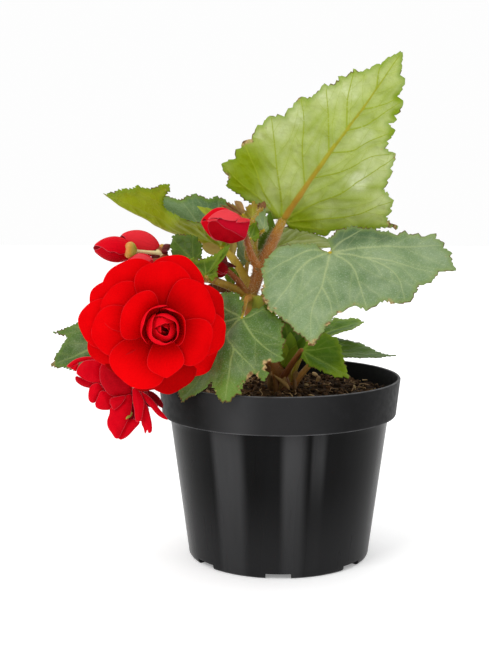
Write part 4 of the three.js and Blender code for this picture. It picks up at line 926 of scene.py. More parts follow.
def barrel_body(base, nose, radius, rings=22, sides=28, ridge=0.0):
    """A closed ovoid from base to nose with a soft point."""
    base, nose = np.asarray(base, float), np.asarray(nose, float)
    axis = unit(nose - base)
    size = float(np.linalg.norm(nose - base))
    right = unit(np.cross(axis, [0.1, 0.2, 1.0]))
    up = np.cross(axis, right)
    points = [base]
    for i in range(1, rings):
        s = 0.5 - 0.5 * math.cos(math.pi * i / rings)
        r = radius * math.sin(math.pi * s**0.93) ** 0.62
        for j in range(sides):
            a = 2 * math.pi * j / sides
            w = r * (1 + ridge * math.cos(3 * a))
            points.append(base + axis * s * size + w * math.cos(a) * right + w * math.sin(a) * up)
    points.append(nose)
    faces = [(0, 1 + (j + 1) % sides, 1 + j) for j in range(sides)]
    for i in range(rings - 2):
        for j in range(sides):
            k = (j + 1) % sides
            faces.append((1 + i * sides + j, 1 + i * sides + k, 1 + (i + 1) * sides + k, 1 + (i + 1) * sides + j))
    last = len(points) - 1
    faces += [(last, last - sides + j, last - sides + (j + 1) % sides) for j in range(sides)]
    n = len(points)
    return np.array(points), faces, {
        "margin": np.full(n, 5.0), "run": np.linspace(0, 1, n), "across": np.zeros(n), "back": np.ones(n)}


class Gather:
    """Sheets collected into one mesh, each with its own tint."""

    def __init__(self):
        self.points, self.faces, self.values, self.count = [], [], {}, 0

    def add(self, sheet, tint=0.5):
        points, faces, values = sheet
        self.points.append(points)
        self.faces += [tuple(i + self.count for i in f) for f in faces]
        for key, value in {**values, "tint": np.full(len(points), tint)}.items():
            self.values.setdefault(key, []).append(value)
        self.count += len(points)

    def make(self, name, finish, slot, nodes=()):
        values = {k: np.concatenate(v) for k, v in self.values.items()}
        piece_from(name, np.vstack(self.points), self.faces, finish, slot, nodes, **values)


def petal_finish(name, deep, bright, warm, edge, back, rose, roughness, shine, fringe):
    """Front and back colours, a thin pale edge, faint lines from foot to tip and a darker foot of painted shade where
    the petals overlap.
    """
    f = Finish(name, roughness, Specular_IOR_Level=shine)
    tint = f.attribute("tint")
    run = f.attribute("run")
    cloud = f.steps(f.noise(70, 2.0), 0.35, 0.7)
    front = f.mix(f.times(cloud, 0.5), bright, warm)
    front = f.mix(f.steps(tint, 0.55, 1.0, 0.0, 0.8), front, warm)
    front = f.mix(f.steps(tint, 0.0, 0.5, 0.85, 0.0), front, deep)
    # Painted shade towards each petal's foot, where the petals overlap.
    front = f.mix(f.steps(run, 0.05, 0.85, 0.8, 0.0), front, deep)
    wavering = f.math("ADD", f.attribute("across"), f.times(f.noise(60, 2.0), 0.35))
    wave = f.math("SINE", f.times(wavering, 38.0))
    lines = f.times(f.steps(wave, 0.2, 1.0), f.steps(run, 0.1, 0.9, 1.0, 0.2))
    front = f.mix(f.times(lines, 0.09), front, deep)
    rear = f.mix(f.steps(tint, 0.05, 0.65), back[1], back[0])
    rear = f.mix(f.steps(tint, 0.75, 1.0), rear, rose)
    rear = f.mix(f.steps(tint, 1.1, 1.5), rear, "#b60020")
    rear = f.mix(f.times(lines, 0.12), rear, back[1])
    both = f.mix(f.attribute("back"), front, rear)
    both = f.mix(f.steps(f.attribute("margin"), 0.03, 0.34, fringe, 0.0), both, edge)
    f.colour(both)
    grain = f.noise(1600, 2.0)
    f.roughness(f.steps(grain, 0.3, 0.7, roughness - 0.05, roughness + 0.08))
    f.bump((grain, 0.1, 0.05), (lines, 0.12, 0.12))
    return f


PETAL_RED = petal_finish(
    "petal red", "#7e0000", "#d40005", "#e80206", "#ee5058", ("#e40c1e", "#a20010"), "#e8485a", 0.6, 0.015, 0.13)
PETAL_CRIMSON = petal_finish(
    "petal crimson", "#740008", "#ca000c", "#e20416", "#ec8090", ("#d00016", "#74000a"), "#dc3e46", 0.5, 0.035, 0.4)

BLOOM_BACK = np.array([-58.6, -58, 130.5])
BLOOM_AXIS = unit([0.24, -0.965, 0.03])
# Each petal: degrees round the axis from the right, reach of the tip, height of the tip and of the foot over
# the back, half width, how far it is cupped, how far its edge rolls back, and its tint.
BLOOM_PETALS = [
    (124, 36.5, -1, 3, 15, -1, 1.6, 0.5), (69, 36, -1, 3, 14.5, -1, 1.6, 0.4), (20, 34.5, 0, 3, 13, -1, 1.4, 0.3),
    (-9, 34, 1.5, 3, 11, 0, 1.4, 1.0), (-36, 34, -1, 3, 12.5, -1, 1.6, 0.9), (-76, 34, 0, 3, 13, -1, 1.4, 0.2),
    (-104, 33, -1.5, 3, 12, -1, 1.2, 0.05), (-139, 32, -1, 2.5, 12, -1, 1.2, 0.0),
    (-162, 36, -1, 3, 12, -1, 1.4, 0.35), (176, 39, 0, 3, 12.5, -1, 1.6, 0.6), (152, 36.5, -1.5, 3, 12, -1, 1.6, 0.5),
    (87, 32, 4, 7, 14, 1, 1.2, 0.5), (36, 29, 6, 7, 13.5, 1, 1.2, 0.5), (149, 31, 4, 6, 12.5, 1, 1.2, 0.45),
    (183, 33, 4, 6.5, 12.5, 1, 1.2, 0.5), (-123, 32, 5, 7, 14.5, 1, 1.4, 0.75), (-24, 26, 9, 8, 12, 1, 1.2, 0.7),
    (150, 21, 12, 8, 13, 2.5, 0.8, 0.45), (-85, 24, 10, 8, 9, 2, 0.8, 0.75),
]


def main_bloom():
    right = unit(np.array([1.0, 0, 0]) - BLOOM_AXIS * BLOOM_AXIS[0])
    up = np.cross(BLOOM_AXIS, right)

    def place(angle, reach, height):
        return BLOOM_AXIS * height + right * reach * math.cos(angle * DEG) + up * reach * math.sin(angle * DEG)

    bloom = Gather()
    bloom.add(barrel_body(BLOOM_BACK, BLOOM_BACK + BLOOM_AXIS * 13, 8.0), 0.05)
    for k, (angle, reach, tip_height, foot_height, half, cup, curl, tint) in enumerate(BLOOM_PETALS):
        bloom.add(petal_sheet(
            BLOOM_BACK + place(angle, 3.5, foot_height), BLOOM_BACK + place(angle, reach, tip_height),
            place(angle + 180, 0.1, 1), half, -2, cup, 0.8 if angle == -85 else 0.5, 40 + k, curl=curl,
            ruffle=1.15 if k < 11 else 0.7, waist=0.4), tint)
    # Rolled heart: two open cups, then tighter and tighter rolls round the eye.
    for k, (radius, start, sweep, low, high, mouth, lip, tint) in enumerate([
        (12.4, 76, 150, 6.0, 18.6, 0.88, 0.9, 0.6), (12.0, -52, 150, 6.5, 18.2, 0.86, 0.9, 0.6),
        (9.2, 112, 205, 6.0, 20.4, 0.72, 0.0, 0.65), (9.0, -66, 195, 6.0, 20.2, 0.71, 0.0, 0.6),
        (8.3, 24, 165, 6.0, 20.3, 0.42, 0.0, 0.7), (8.0, 158, 165, 6.0, 20.0, 0.38, 0.0, 0.6),
        (7.8, 270, 150, 6.0, 19.7, 0.34, 0.0, 0.65), (7.2, 90, 170, 6.0, 19.3, 0.27, 0.0, 0.6),
        (6.6, -50, 200, 6.0, 18.9, 0.22, 0.0, 0.5), (4.6, 120, 220, 6.0, 18.2, 0.22, 0.0, 0.2),
    ]):
        bloom.add(rolled_sheet(BLOOM_BACK, BLOOM_AXIS, radius, start, sweep, low, high, mouth, lip, 80 + k), tint)
    bloom.make("bloom_main_petals", PETAL_RED, "petal_red", ("bloom_main",))


main_bloom()

SIDE_BACK = np.array([-76, -36, 96.0])
SIDE_AXIS = unit([-0.42, -0.18, -0.89])
# Each petal at the back: place of the tip, half width, the way its inner side looks, its tint and how pointed it is.
SIDE_PETALS = [
    ((-102, -30, 104), 5.5, (0.1, 0.3, -0.95), 0.6, 0.6), ((-95, -26, 96), 8, (0.2, 0.3, -0.9), 0.4, 0.5),
    ((-92, -36, 90), 6, (0.3, 0.6, -0.74), 0.5, 0.45), ((-83, -28, 80), 7, (0.4, 0.7, -0.6), 0.5, 0.6),
    ((-78, -38, 75), 5.5, (-0.1, 0.95, -0.3), 0.5, 0.8), ((-68, -38, 79), 5, (-0.4, 0.8, -0.2), 0.4, 0.9),
    ((-61, -36, 87), 5, (-0.3, 0.5, -0.8), 0.1, 0.6), ((-70, -24, 90), 7, (-0.3, -0.5, -0.8), 0.3, 0.6),
]
# The petals in front: depth at the root, how it changes to the right and upwards, tint, and the outline as millimetres
# to the right and up.
SIDE_ROOT = np.array([-75.0, 96.0])
SIDE_FRONT = [
    (-39, 0.05, 0.1, 0.6, [(-107.7, 107.8), (-104.6, 110.4), (-101.2, 111.9), (-97.1, 112.5), (-91.7, 112.2),
        (-89.7, 111.5), (-90.1, 109.4), (-93.1, 110.2), (-97.8, 110.3), (-101.2, 109.5), (-103.3, 108.2), (-106, 107)]),
    (-37.6, 0.05, 0, 0.6, [(-108, 107.6), (-106.3, 106.9), (-103.6, 108.1), (-101.4, 109.1), (-102.5, 106.1),
        (-103.1, 104.9), (-105, 106.1)]),
    (-40, 0.12, -0.2, 0.4, [(-102.5, 102.9), (-101.7, 103.5), (-99.7, 102.6), (-96.3, 101.1), (-92.7, 100.1),
        (-94.1, 97.8), (-95.7, 97.1), (-98.7, 97.9), (-101.1, 99.5), (-102.4, 101.2)]),
    (-43, 0.1, 0.2, 0.58, [(-102, 104.6), (-101.6, 107), (-99.9, 109.5), (-97.2, 111.1), (-92.4, 111.3),
        (-89.2, 110.4), (-88.6, 107), (-88.6, 103.6), (-88.6, 100.1), (-92.6, 99.9), (-96, 100.7), (-99.3, 102.4)]),
    (-41, 0.2, -0.1, 0.66, [(-95.4, 97.6), (-93.6, 99.5), (-90.5, 99.9), (-88.5, 96.1), (-90.2, 92.7), (-92.7, 90),
        (-94.5, 89.8), (-95.8, 91.3), (-96, 94)]),
    (-42, 0.25, -0.05, 0.7, [(-92.5, 89.7), (-91.1, 93.1), (-89.4, 96.1), (-86, 95.4), (-83.5, 92.8), (-83.4, 89.7),
        (-83.8, 87), (-85.8, 86.2), (-89.2, 86.3), (-91.8, 87.6)]),
    (-41, 0, 0.15, 0.66, [(-81.4, 71.8), (-79.3, 76), (-77, 81), (-74.2, 81.4), (-70.3, 79.8), (-73.2, 76),
        (-76.6, 72.5), (-79.7, 71)]),
    (-43, 0, 0, 0, [(-75.9, 89.9), (-73.9, 89.2), (-73, 85.8), (-73, 82.7), (-75, 79.5), (-76.5, 80), (-76, 83.7)]),
    (-44, 0.2, 0.12, 0.6, [(-85.1, 84.8), (-84.6, 87.6), (-82, 89.2), (-78.4, 91.8), (-76.6, 94), (-74.2, 94),
        (-73.8, 89.7), (-74.8, 84.2), (-76.6, 80.1), (-78.7, 76), (-80.4, 72.6), (-82.2, 72.5), (-83.9, 75),
        (-85.8, 78), (-86.2, 81.4)]),
    (-46.5, 0.2, 0.1, 0.5, [(-84.6, 90.5), (-84.3, 92.8), (-81.8, 93.6), (-77.1, 94), (-78.1, 90.8), (-80.4, 88.5),
        (-82.7, 87.2)]),
    (-43.5, 0.4, -0.25, 0.4, [(-88.9, 108.3), (-87.9, 110.6), (-86.4, 111.9), (-82.6, 112.4), (-79.3, 107.7),
        (-76.4, 103), (-74.2, 99.7), (-74, 97), (-75, 93.9), (-77.5, 92.9), (-80.2, 92.6), (-82.8, 93.4),
        (-85.3, 94.9), (-87.5, 98.2), (-89, 102.3)]),
    (-40, -0.2, 0.1, 0, [(-66.8, 95.9), (-63.5, 95.1), (-60.5, 92.8), (-58.3, 89.4), (-58.7, 87.4), (-60.9, 88.3),
        (-63.7, 90.9), (-65.8, 93.2)]),
    (-44, -0.2, 0.15, 0.6, [(-68.3, 92.6), (-65.8, 88.1), (-64.2, 83.1), (-63.4, 78.4), (-63.8, 76), (-65.3, 75.5),
        (-65.9, 76.9), (-67, 75), (-67.9, 77.7), (-69, 80.4), (-68.6, 85.1), (-68.8, 89.2)]),
    (-45, -0.25, 0.1, 0.5, [(-69.5, 96.6), (-65.5, 94.3), (-62.2, 91.3), (-59.6, 87.9), (-57, 85.1), (-55.3, 82.8),
        (-58.3, 83.4), (-61.3, 85.5), (-64.9, 89.3), (-67.9, 92.8)]),
    (-47, -0.15, 0.3, 0.74, [(-73.5, 97.7), (-71.7, 98.2), (-69.8, 96.3), (-68, 93.5), (-67.2, 90.7), (-67.6, 87.3),
        (-68.3, 83.3), (-69.7, 81.8), (-71.4, 82.4), (-72.1, 87.3), (-73.1, 92)]),
]


def laid_petal(outline, depth, seed):
    """A thin petal from its outline seen from the front; depth takes places and how far they are from its edge."""
    rim = smooth_line(outline + outline[:1], 0.6)[:-1]
    after = np.roll(rim, -1, axis=0)
    rim = rim[::-1] if np.sum(rim[:, 0] * after[:, 1] - after[:, 0] * rim[:, 1]) < 0 else rim
    low, high = rim.min(axis=0), rim.max(axis=0)
    grid = np.array([(x + (0.3 if k % 2 else 0), z) for k, z in enumerate(np.arange(low[1], high[1], 0.52))
                     for x in np.arange(low[0], high[0], 0.6)])
    edge = tree_of(smooth_line(np.vstack([rim, rim[:1]]), 0.2))
    grid = grid[within(rim, grid) & (nearest(edge, grid)[:, 1] > 0.3)]
    xz, triangles = triangulated(rim, grid)
    gone = nearest(edge, xz)[:, 1]
    shift = Vector((seed, 0, 0))
    y = depth(xz, gone) - 0.35 * np.array([noise.noise(Vector((q[0] * 0.3, q[1] * 0.3, 0)) + shift) for q in xz])
    n = len(xz)
    front = np.column_stack([xz[:, 0], y - 0.16, xz[:, 1]])
    away = xz - rim.mean(axis=0) + (8, 0)
    return np.vstack([front, front + [0, 0.32, 0]]), two_sided(triangles, n), {
        "margin": twice(gone + 0.1), "run": np.full(2 * n, 0.6),
        "across": twice(1.6 * np.arctan2(away[:, 1], away[:, 0])), "back": np.ones(2 * n)}


def side_bloom():
    start = SIDE_BACK + SIDE_AXIS * 2.8
    deep, soft = 1.9, 2.2
    bloom = Gather()
    bloom.add(barrel_body(SIDE_BACK, SIDE_BACK + SIDE_AXIS * 8, 4.0, 14, 18), 0.1)
    for k, (tip, half, inner, tint, point) in enumerate(SIDE_PETALS):
        way = unit(np.array(tip, float) - start)
        bloom.add(petal_sheet(start + way * 1.5, tip, inner, half, 3, 0.34 * half, point, 120 + k, ruffle=0.45,
                              curl=0.08 * half, waist=0.5), tint)
    for k, (root, right, rise, tint, outline) in enumerate(SIDE_FRONT):
        depth = lambda xz, gone: root + (xz - SIDE_ROOT) @ (right, rise) - deep * (1 - np.exp(-gone / soft))
        bloom.add(laid_petal(outline, depth, 3 * k), tint)
    bloom.make("bloom_side_petals", PETAL_CRIMSON, "petal_crimson", ("bloom_side",))


side_bloom()

# Buds: base, nose, radius, and wrapping petals as the angle of the middle (0 far side, 90 below, 180 near side,
# 270 above), sweep, share of the bud's length, swell, tint and where it is wide (1 base, 0 middle, -1 nose).
BUDS = {
    "bud_top": ((-17.1, -17.5, 173.6), (-39.2, -24, 181.2), 6.6, [
        (40, 190, 0.95, 1.04, 0.3, 0), (330, 170, 0.96, 1.02, 0.5, 0)]),
    "bud_left": ((-73, -30, 165.2), (-94, -34, 167.4), 6.2, [
        (250, 190, 0.97, 1.04, 0.6, 0), (110, 196, 0.96, 1.0, 0.4, 0)]),
    "bud_mid": ((-61.5, -21, 165.2), (-82, -21.5, 172.4), 6.5, [
        (240, 200, 0.97, 1.04, 0.86, 0), (80, 190, 0.95, 1.0, 0.45, 0)]),
    "bud_small": ((-27, -15, 154.6), (-35, -19, 156), 3.8, [
        (225, 150, 0.96, 1.06, 0.15, 0), (150, 150, 0.97, 1.0, 0.3, -1), (60, 170, 0.95, 1.03, 0.0, 0)]),
    "bud_low": ((-64, -31, 160.5), (-77, -37.5, 159.5), 4.0, [
        (260, 170, 0.95, 1.05, 1.0, 0), (190, 150, 0.96, 1.0, 0.8, -1), (80, 170, 0.95, 1.02, 0.3, 0)]),
}


def bud_wrap(base, nose, radius, middle, sweep, share, swell, wide_at, seed):
    """A petal lying round a bud, from its base to a share of its length, with an uneven edge."""
    base, nose = np.asarray(base, float), np.asarray(nose, float)
    axis = unit(nose - base)
    size = float(np.linalg.norm(nose - base))
    right = unit(np.cross(axis, [0.1, 0.2, 1.0]))
    up = np.cross(axis, right)
    phase = random.Random(seed).uniform(0, 6.28)
    s, t = np.meshgrid(np.linspace(0.02, share, 27), np.linspace(-1, 1, 25), indexing="ij")
    u = (s - 0.02) / (share - 0.02)
    start, end = {1: (0.34, 0.95), 0: (0.14, 0.95), -1: (0.06, 0.66)}[wide_at]
    spread = np.sin(math.pi * (start + (end - start) * u)) ** 0.55
    ragged = 4 * np.sin(9 * u + phase) + 3 * np.sin(21 * u + 2 * phase)
    turn = (middle + sweep / 2 * t * spread + ragged * t * np.abs(t) ** 3) * DEG
    r = radius * swell * np.sin(math.pi * s**0.93) ** 0.62
    r = r + 0.2 * np.abs(t) ** 3 + 0.25 * np.sin(4 * t + phase) * np.sin(math.pi * u)
    out = (r * np.cos(turn))[..., None] * right + (r * np.sin(turn))[..., None] * up
    p = base + (s * size)[..., None] * axis + out
    margin = (1 - np.abs(t)) * sweep / 2 * DEG * r
    return thin_sheet(p, unit(out) * 0.2, True, (1, 1), margin, s, t)


# The petals over the near side of the top bud: layer, tint, and outline as millimetres to the right and up.
TOP_BUD = [
    (0, 0.62, [(-40.4, 179.9), (-39.2, 182.1), (-36.6, 184.5), (-34, 186.5), (-31, 187.4), (-27.9, 187.2),
        (-25.3, 186), (-22.8, 184.9), (-20.7, 183.7), (-19, 181.8), (-22.3, 181.2), (-28.4, 182), (-33.6, 181.5),
        (-36.9, 180.5), (-38.7, 178.9)]),
    (1, 1.45, [(-33, 181.5), (-30.5, 181.9), (-26.4, 181.2), (-22.3, 180.9), (-19.2, 180.7), (-15.3, 180.5),
        (-15.6, 177.9), (-16.3, 174.9), (-17.5, 171.8), (-20.2, 173.1), (-23.8, 175.2), (-27.4, 176.9), (-31, 178.9)]),
    (1.3, 0.5, [(-40.4, 179.9), (-38.7, 180.6), (-36.8, 180.8), (-35.9, 180), (-36.2, 177.9), (-35.6, 174.8),
        (-33.8, 172), (-31.2, 170.6), (-33.3, 170.9), (-36.1, 173.3), (-38.4, 176.4)]),
    (2.2, 0.3, [(-35.8, 180), (-34.6, 180.8), (-32.8, 181), (-31.2, 180.2), (-29.7, 178.9), (-27.4, 177.1),
        (-25.2, 176.3), (-22.3, 174.7), (-19.7, 173), (-17.5, 171.5), (-19.7, 170.5), (-22.3, 169.6), (-25.4, 169.1),
        (-29, 170.1), (-31.8, 170.9), (-33.8, 172), (-35.4, 174.3), (-36.3, 176.9), (-36.4, 178.7)]),
    (2.6, 0.9, [(-36.7, 180.6), (-35.3, 181.7), (-33, 181.9), (-31.3, 181.4), (-32, 180.8), (-34.1, 180.7),
        (-35.6, 180.2)]),
    (3.2, 1.02, [(-36.4, 181.5), (-35.3, 182.8), (-33.5, 184.3), (-31, 185.7), (-27.9, 186.4), (-25.3, 185.8),
        (-22.8, 184.7), (-20.7, 183.3), (-19.7, 182), (-21.5, 181.5), (-22.3, 180.8), (-25.4, 180.9), (-28.2, 181.5),
        (-30.3, 182.4), (-30.7, 181.9), (-32.5, 182.3), (-34.6, 182)]),
    (3.8, 0.92, [(-22, 180), (-21.3, 181.3), (-19.9, 182.3), (-17.7, 182.1), (-15, 181.3), (-15.4, 180.5),
        (-17.2, 180), (-19.7, 179.9)]),
]


def top_bud_depth(layer):
    """The near side of the top bud, one layer further out for each one below it."""
    def depth(xz, gone):
        x, z = xz[:, 0] + 28, xz[:, 1] - 178
        along, across = x * 0.945 - z * 0.326, x * 0.326 + z * 0.945
        swell = 7 * np.sqrt(np.clip(1 - (along / 13.2) ** 2 - (across / 9.6) ** 2, 0.02, 1))
        return -20.5 - swell - 0.42 * layer - 0.3 * np.exp(-gone / 0.7)
    return depth


def make_buds():
    for order, (name, (base, nose, radius, wraps)) in enumerate(BUDS.items()):
        bud = Gather()
        if name == "bud_top":
            for k, (layer, tint, outline) in enumerate(TOP_BUD):
                bud.add(laid_petal(outline, top_bud_depth(layer), 7 * k), tint)
        bud.add(barrel_body(base, nose, radius), 0.1)
        for k, (middle, sweep, share, swell, tint, wide_at) in enumerate(wraps):
            bud.add(bud_wrap(base, nose, radius, middle, sweep, share, swell, wide_at, 160 + 5 * order + k), tint)
        bud.make(name + "_petals", PETAL_CRIMSON, "petal_crimson", (name,))


make_buds()

# Thin pointed scales: about where the foot is, the tip, the way the inner side looks, half width and tint (0 dark
# red, 0.4 brown, 0.7 tan, 1 yellow-green, 1.3 green). Each foot is then set on the skin of the nearest stalk.
SCALES = [
    ((-20.5, 0.5, 183), (-31.2, -4, 188.6), (0.2, 0.8, 0.5), 1.1, 0.58),
    ((-20.5, 0, 183.4), (-28.6, -3.4, 189.8), (0.2, 0.9, 0.3), 0.9, 0.5),
    ((-19.8, 0.6, 182.6), (-23.8, -1, 190.6), (-0.4, 0.9, 0.2), 0.9, 0.62),
    ((-9.6, 2.2, 184), (-8.2, 2.4, 190.2), (0, 1, 0), 1.6, 0.48),
    ((-9.8, 4.4, 184), (-10.8, 4.6, 189.4), (0, -1, 0.2), 1.5, 0.52),
    ((-14, -8.3, 132.4), (-9.8, -8.8, 141), (0.1, 0.95, 0.1), 3.2, 0.93),
    ((-17.5, -7.4, 134), (-19, -8.4, 141), (0.2, 0.95, 0.1), 1.9, 0.9),
    ((-37.4, -11, 180.4), (-42.6, -12, 187.6), (0.3, -0.9, 0.3), 2.3, 0.99),
    ((-36.8, -11, 180.6), (-38.4, -12.4, 187.4), (-0.3, -0.9, 0.3), 1.8, 1.12),
    ((5, -2, 100), (9.5, -2.5, 114), (0.3, -0.9, 0.3), 3.0, 1.15),
    ((4, -1, 102), (2.2, -1, 116), (-0.2, -0.9, 0.3), 3.2, 1.15),
    ((7, 0, 102), (6, 2, 120), (0.1, -0.9, 0.2), 3.4, 1.2),
    ((8, 2, 102), (14.6, 3, 118), (0.1, -0.9, 0.2), 3.4, 1.25),
    ((-9, 3, 127), (-3, 3, 138), (0.1, -0.9, 0.2), 4.0, 1.25),
    ((-10, 8, 152), (-5, 9, 184), (0.1, -0.9, 0.2), 4.4, 1.25),
    ((-29, -6, 139), (-38, -8, 146), (0.3, -0.9, 0.2), 2.4, 0.3),
    ((-33, 2, 160), (-42, 2, 167), (0.3, -0.9, 0.2), 3.0, 0.85),
    ((-24, 6, 160), (-25, 6, 170), (0, -0.9, 0.2), 2.2, 0.85),
    ((-17, 2, 185), (-23, 1, 190.5), (0.2, -0.9, 0.2), 2.0, 0.78),
    ((-25, -6, 155.6), (-33, -7, 158.4), (0, -0.9, 0.2), 1.6, 0.05),
    ((-3.6, 2, 126), (-1.6, 2, 133), (0.1, -0.9, 0.2), 2.6, 1.2),
    ((-34.5, -27, 159), (-25.4, -25, 168.3), (-0.3, -0.8, 0.4), 2.3, 1.22),
    ((-26.6, -17, 159.5), (-31, -17, 164.8), (0.2, -0.9, 0.2), 1.9, 0.08),
    ((-60.4, -25.8, 164.6), (-56.2, -23.6, 168.6), (0.2, 0.9, 0.3), 1.9, 0.1),
    ((-60.4, -26, 164), (-56.8, -27, 165.4), (0.1, 0.95, 0.2), 1.6, 0.0),
    ((-60.5, -26.2, 163.6), (-65.4, -27.6, 161.4), (0, 0.95, 0.3), 2.0, 0.05),
    ((-76, -37, 97), (-74.8, -41.6, 99.2), (0, 0.6, 0.8), 1.3, 0.75),
    ((-76.5, -39.5, 92), (-76.4, -47.4, 81.6), (0, 0.9, -0.4), 2.6, 0.9),
    ((-10.6, -4.4, 153), (-13.4, -5.4, 157), (0.2, 0.9, 0.2), 1.1, 0.6),
    ((-11.2, -7.6, 137.6), (-6.2, -8.2, 139.2), (0, 0.9, 0.4), 1.5, 0.7),
    ((-3.6, -10.6, 100), (6, -13, 91.5), (0.3, 0.8, 0.5), 1.6, 0.68),
    ((-4.6, -9.4, 99.5), (-6.6, -10.6, 104.6), (0, 0.9, 0.2), 1.6, 0.5),
    ((7.8, -8, 95.6), (9.4, -8.8, 101), (0, 0.9, 0.2), 1.5, 0.65),
    ((1.4, -8.8, 90), (3.6, -11.6, 98), (-0.2, 0.95, 0.2), 1.7, 0.7),
]


def small_parts():
    """Scales and bracts at the nodes, the ovaries behind the blooms' buds and the youngest bud."""
    f = Finish("scale papery", 0.6, Specular_IOR_Level=0.2)
    tint = f.attribute("tint")
    tone = f.mix(f.steps(tint, 0.0, 0.4), "#5c1216", "#6e4222")
    tone = f.mix(f.steps(tint, 0.4, 0.7), tone, "#b08a56")
    tone = f.mix(f.steps(tint, 0.75, 1.0), tone, "#93a428")
    worn = f.times(f.steps(f.noise(380, 3.0), 0.45, 0.7, 0.0, 0.4), f.steps(tint, 0.7, 0.9, 1.0, 0.2))
    tone = f.mix(worn, tone, "#4c2f18")
    tone = f.mix(f.steps(tint, 1.05, 1.3), tone, "#4f7412")
    f.colour(tone)
    f.bump((f.noise(700, 3.0), 0.3, 0.15))
    scales = Gather()
    stalks = np.vstack([np.column_stack(tube(route, size)[2:4]) for route, size, *_ in STEMS])
    for k, (foot, tip, inner, half, tint) in enumerate(SCALES):
        away = np.linalg.norm(stalks[:, :3] - foot, axis=1)
        near = (away - stalks[:, 3]).argmin()
        foot = stalks[near, :3] + (foot - stalks[near, :3]) * min(1, stalks[near, 3] / away[near])
        scales.add(petal_sheet(foot, tip, inner, half, 0.4, 0.5 * half, 0.9, 300 + k, 12, 8, curl=0.2, thick=0.3), tint)
    scales.make("stem_scales", f, "stem")

    g = Finish("ovary waxy", 0.4, Specular_IOR_Level=0.25)
    run = g.attribute("run")
    skin = g.mix(g.steps(run, 0.2, 0.7), "#8f9a2e", "#d48c3c")
    skin = g.mix(g.steps(run, 0.6, 0.95), skin, "#c84a38")
    skin = g.mix(g.steps(g.noise(260, 2.0), 0.45, 0.7, 0.0, 0.5), skin, "#9aa548")
    g.colour(skin)
    g.bump((g.noise(900, 2.0), 0.2, 0.1))
    ovaries = Gather()
    for base, nose, radius, ridge in (
        ((-72, -33, 165.4), (-79.4, -34.6, 166.6), 4.0, 0.2), ((-58.6, -20.8, 164.8), (-63.4, -21, 166.4), 2.9, 0.15),
        ((-17.1, -8, 164.8), (-16.8, -8.5, 171.5), 1.9, 0.08),
    ):
        ovaries.add(barrel_body(base, nose, radius, 12, 16, ridge))
    ovaries.make("bud_ovaries", g, "stem")


HEAD = {name: spec[0] for name, spec in LEAVES.items()}
NODE_LOW = (-15.6, -4, 139)
NODE_HIGH = (-10.8, -1, 154)
TRUSS = (-50, -31, 150.5)
PINK_BROWN, OLIVE, BROWN, YELLOW, RED, TAN, PALE = range(7)
STEM_COLOURS = ["#c47e3c", "#aa8c2e", "#965e2a", "#b49e28", "#84401e", "#a87e4e", "#d8cf96"]
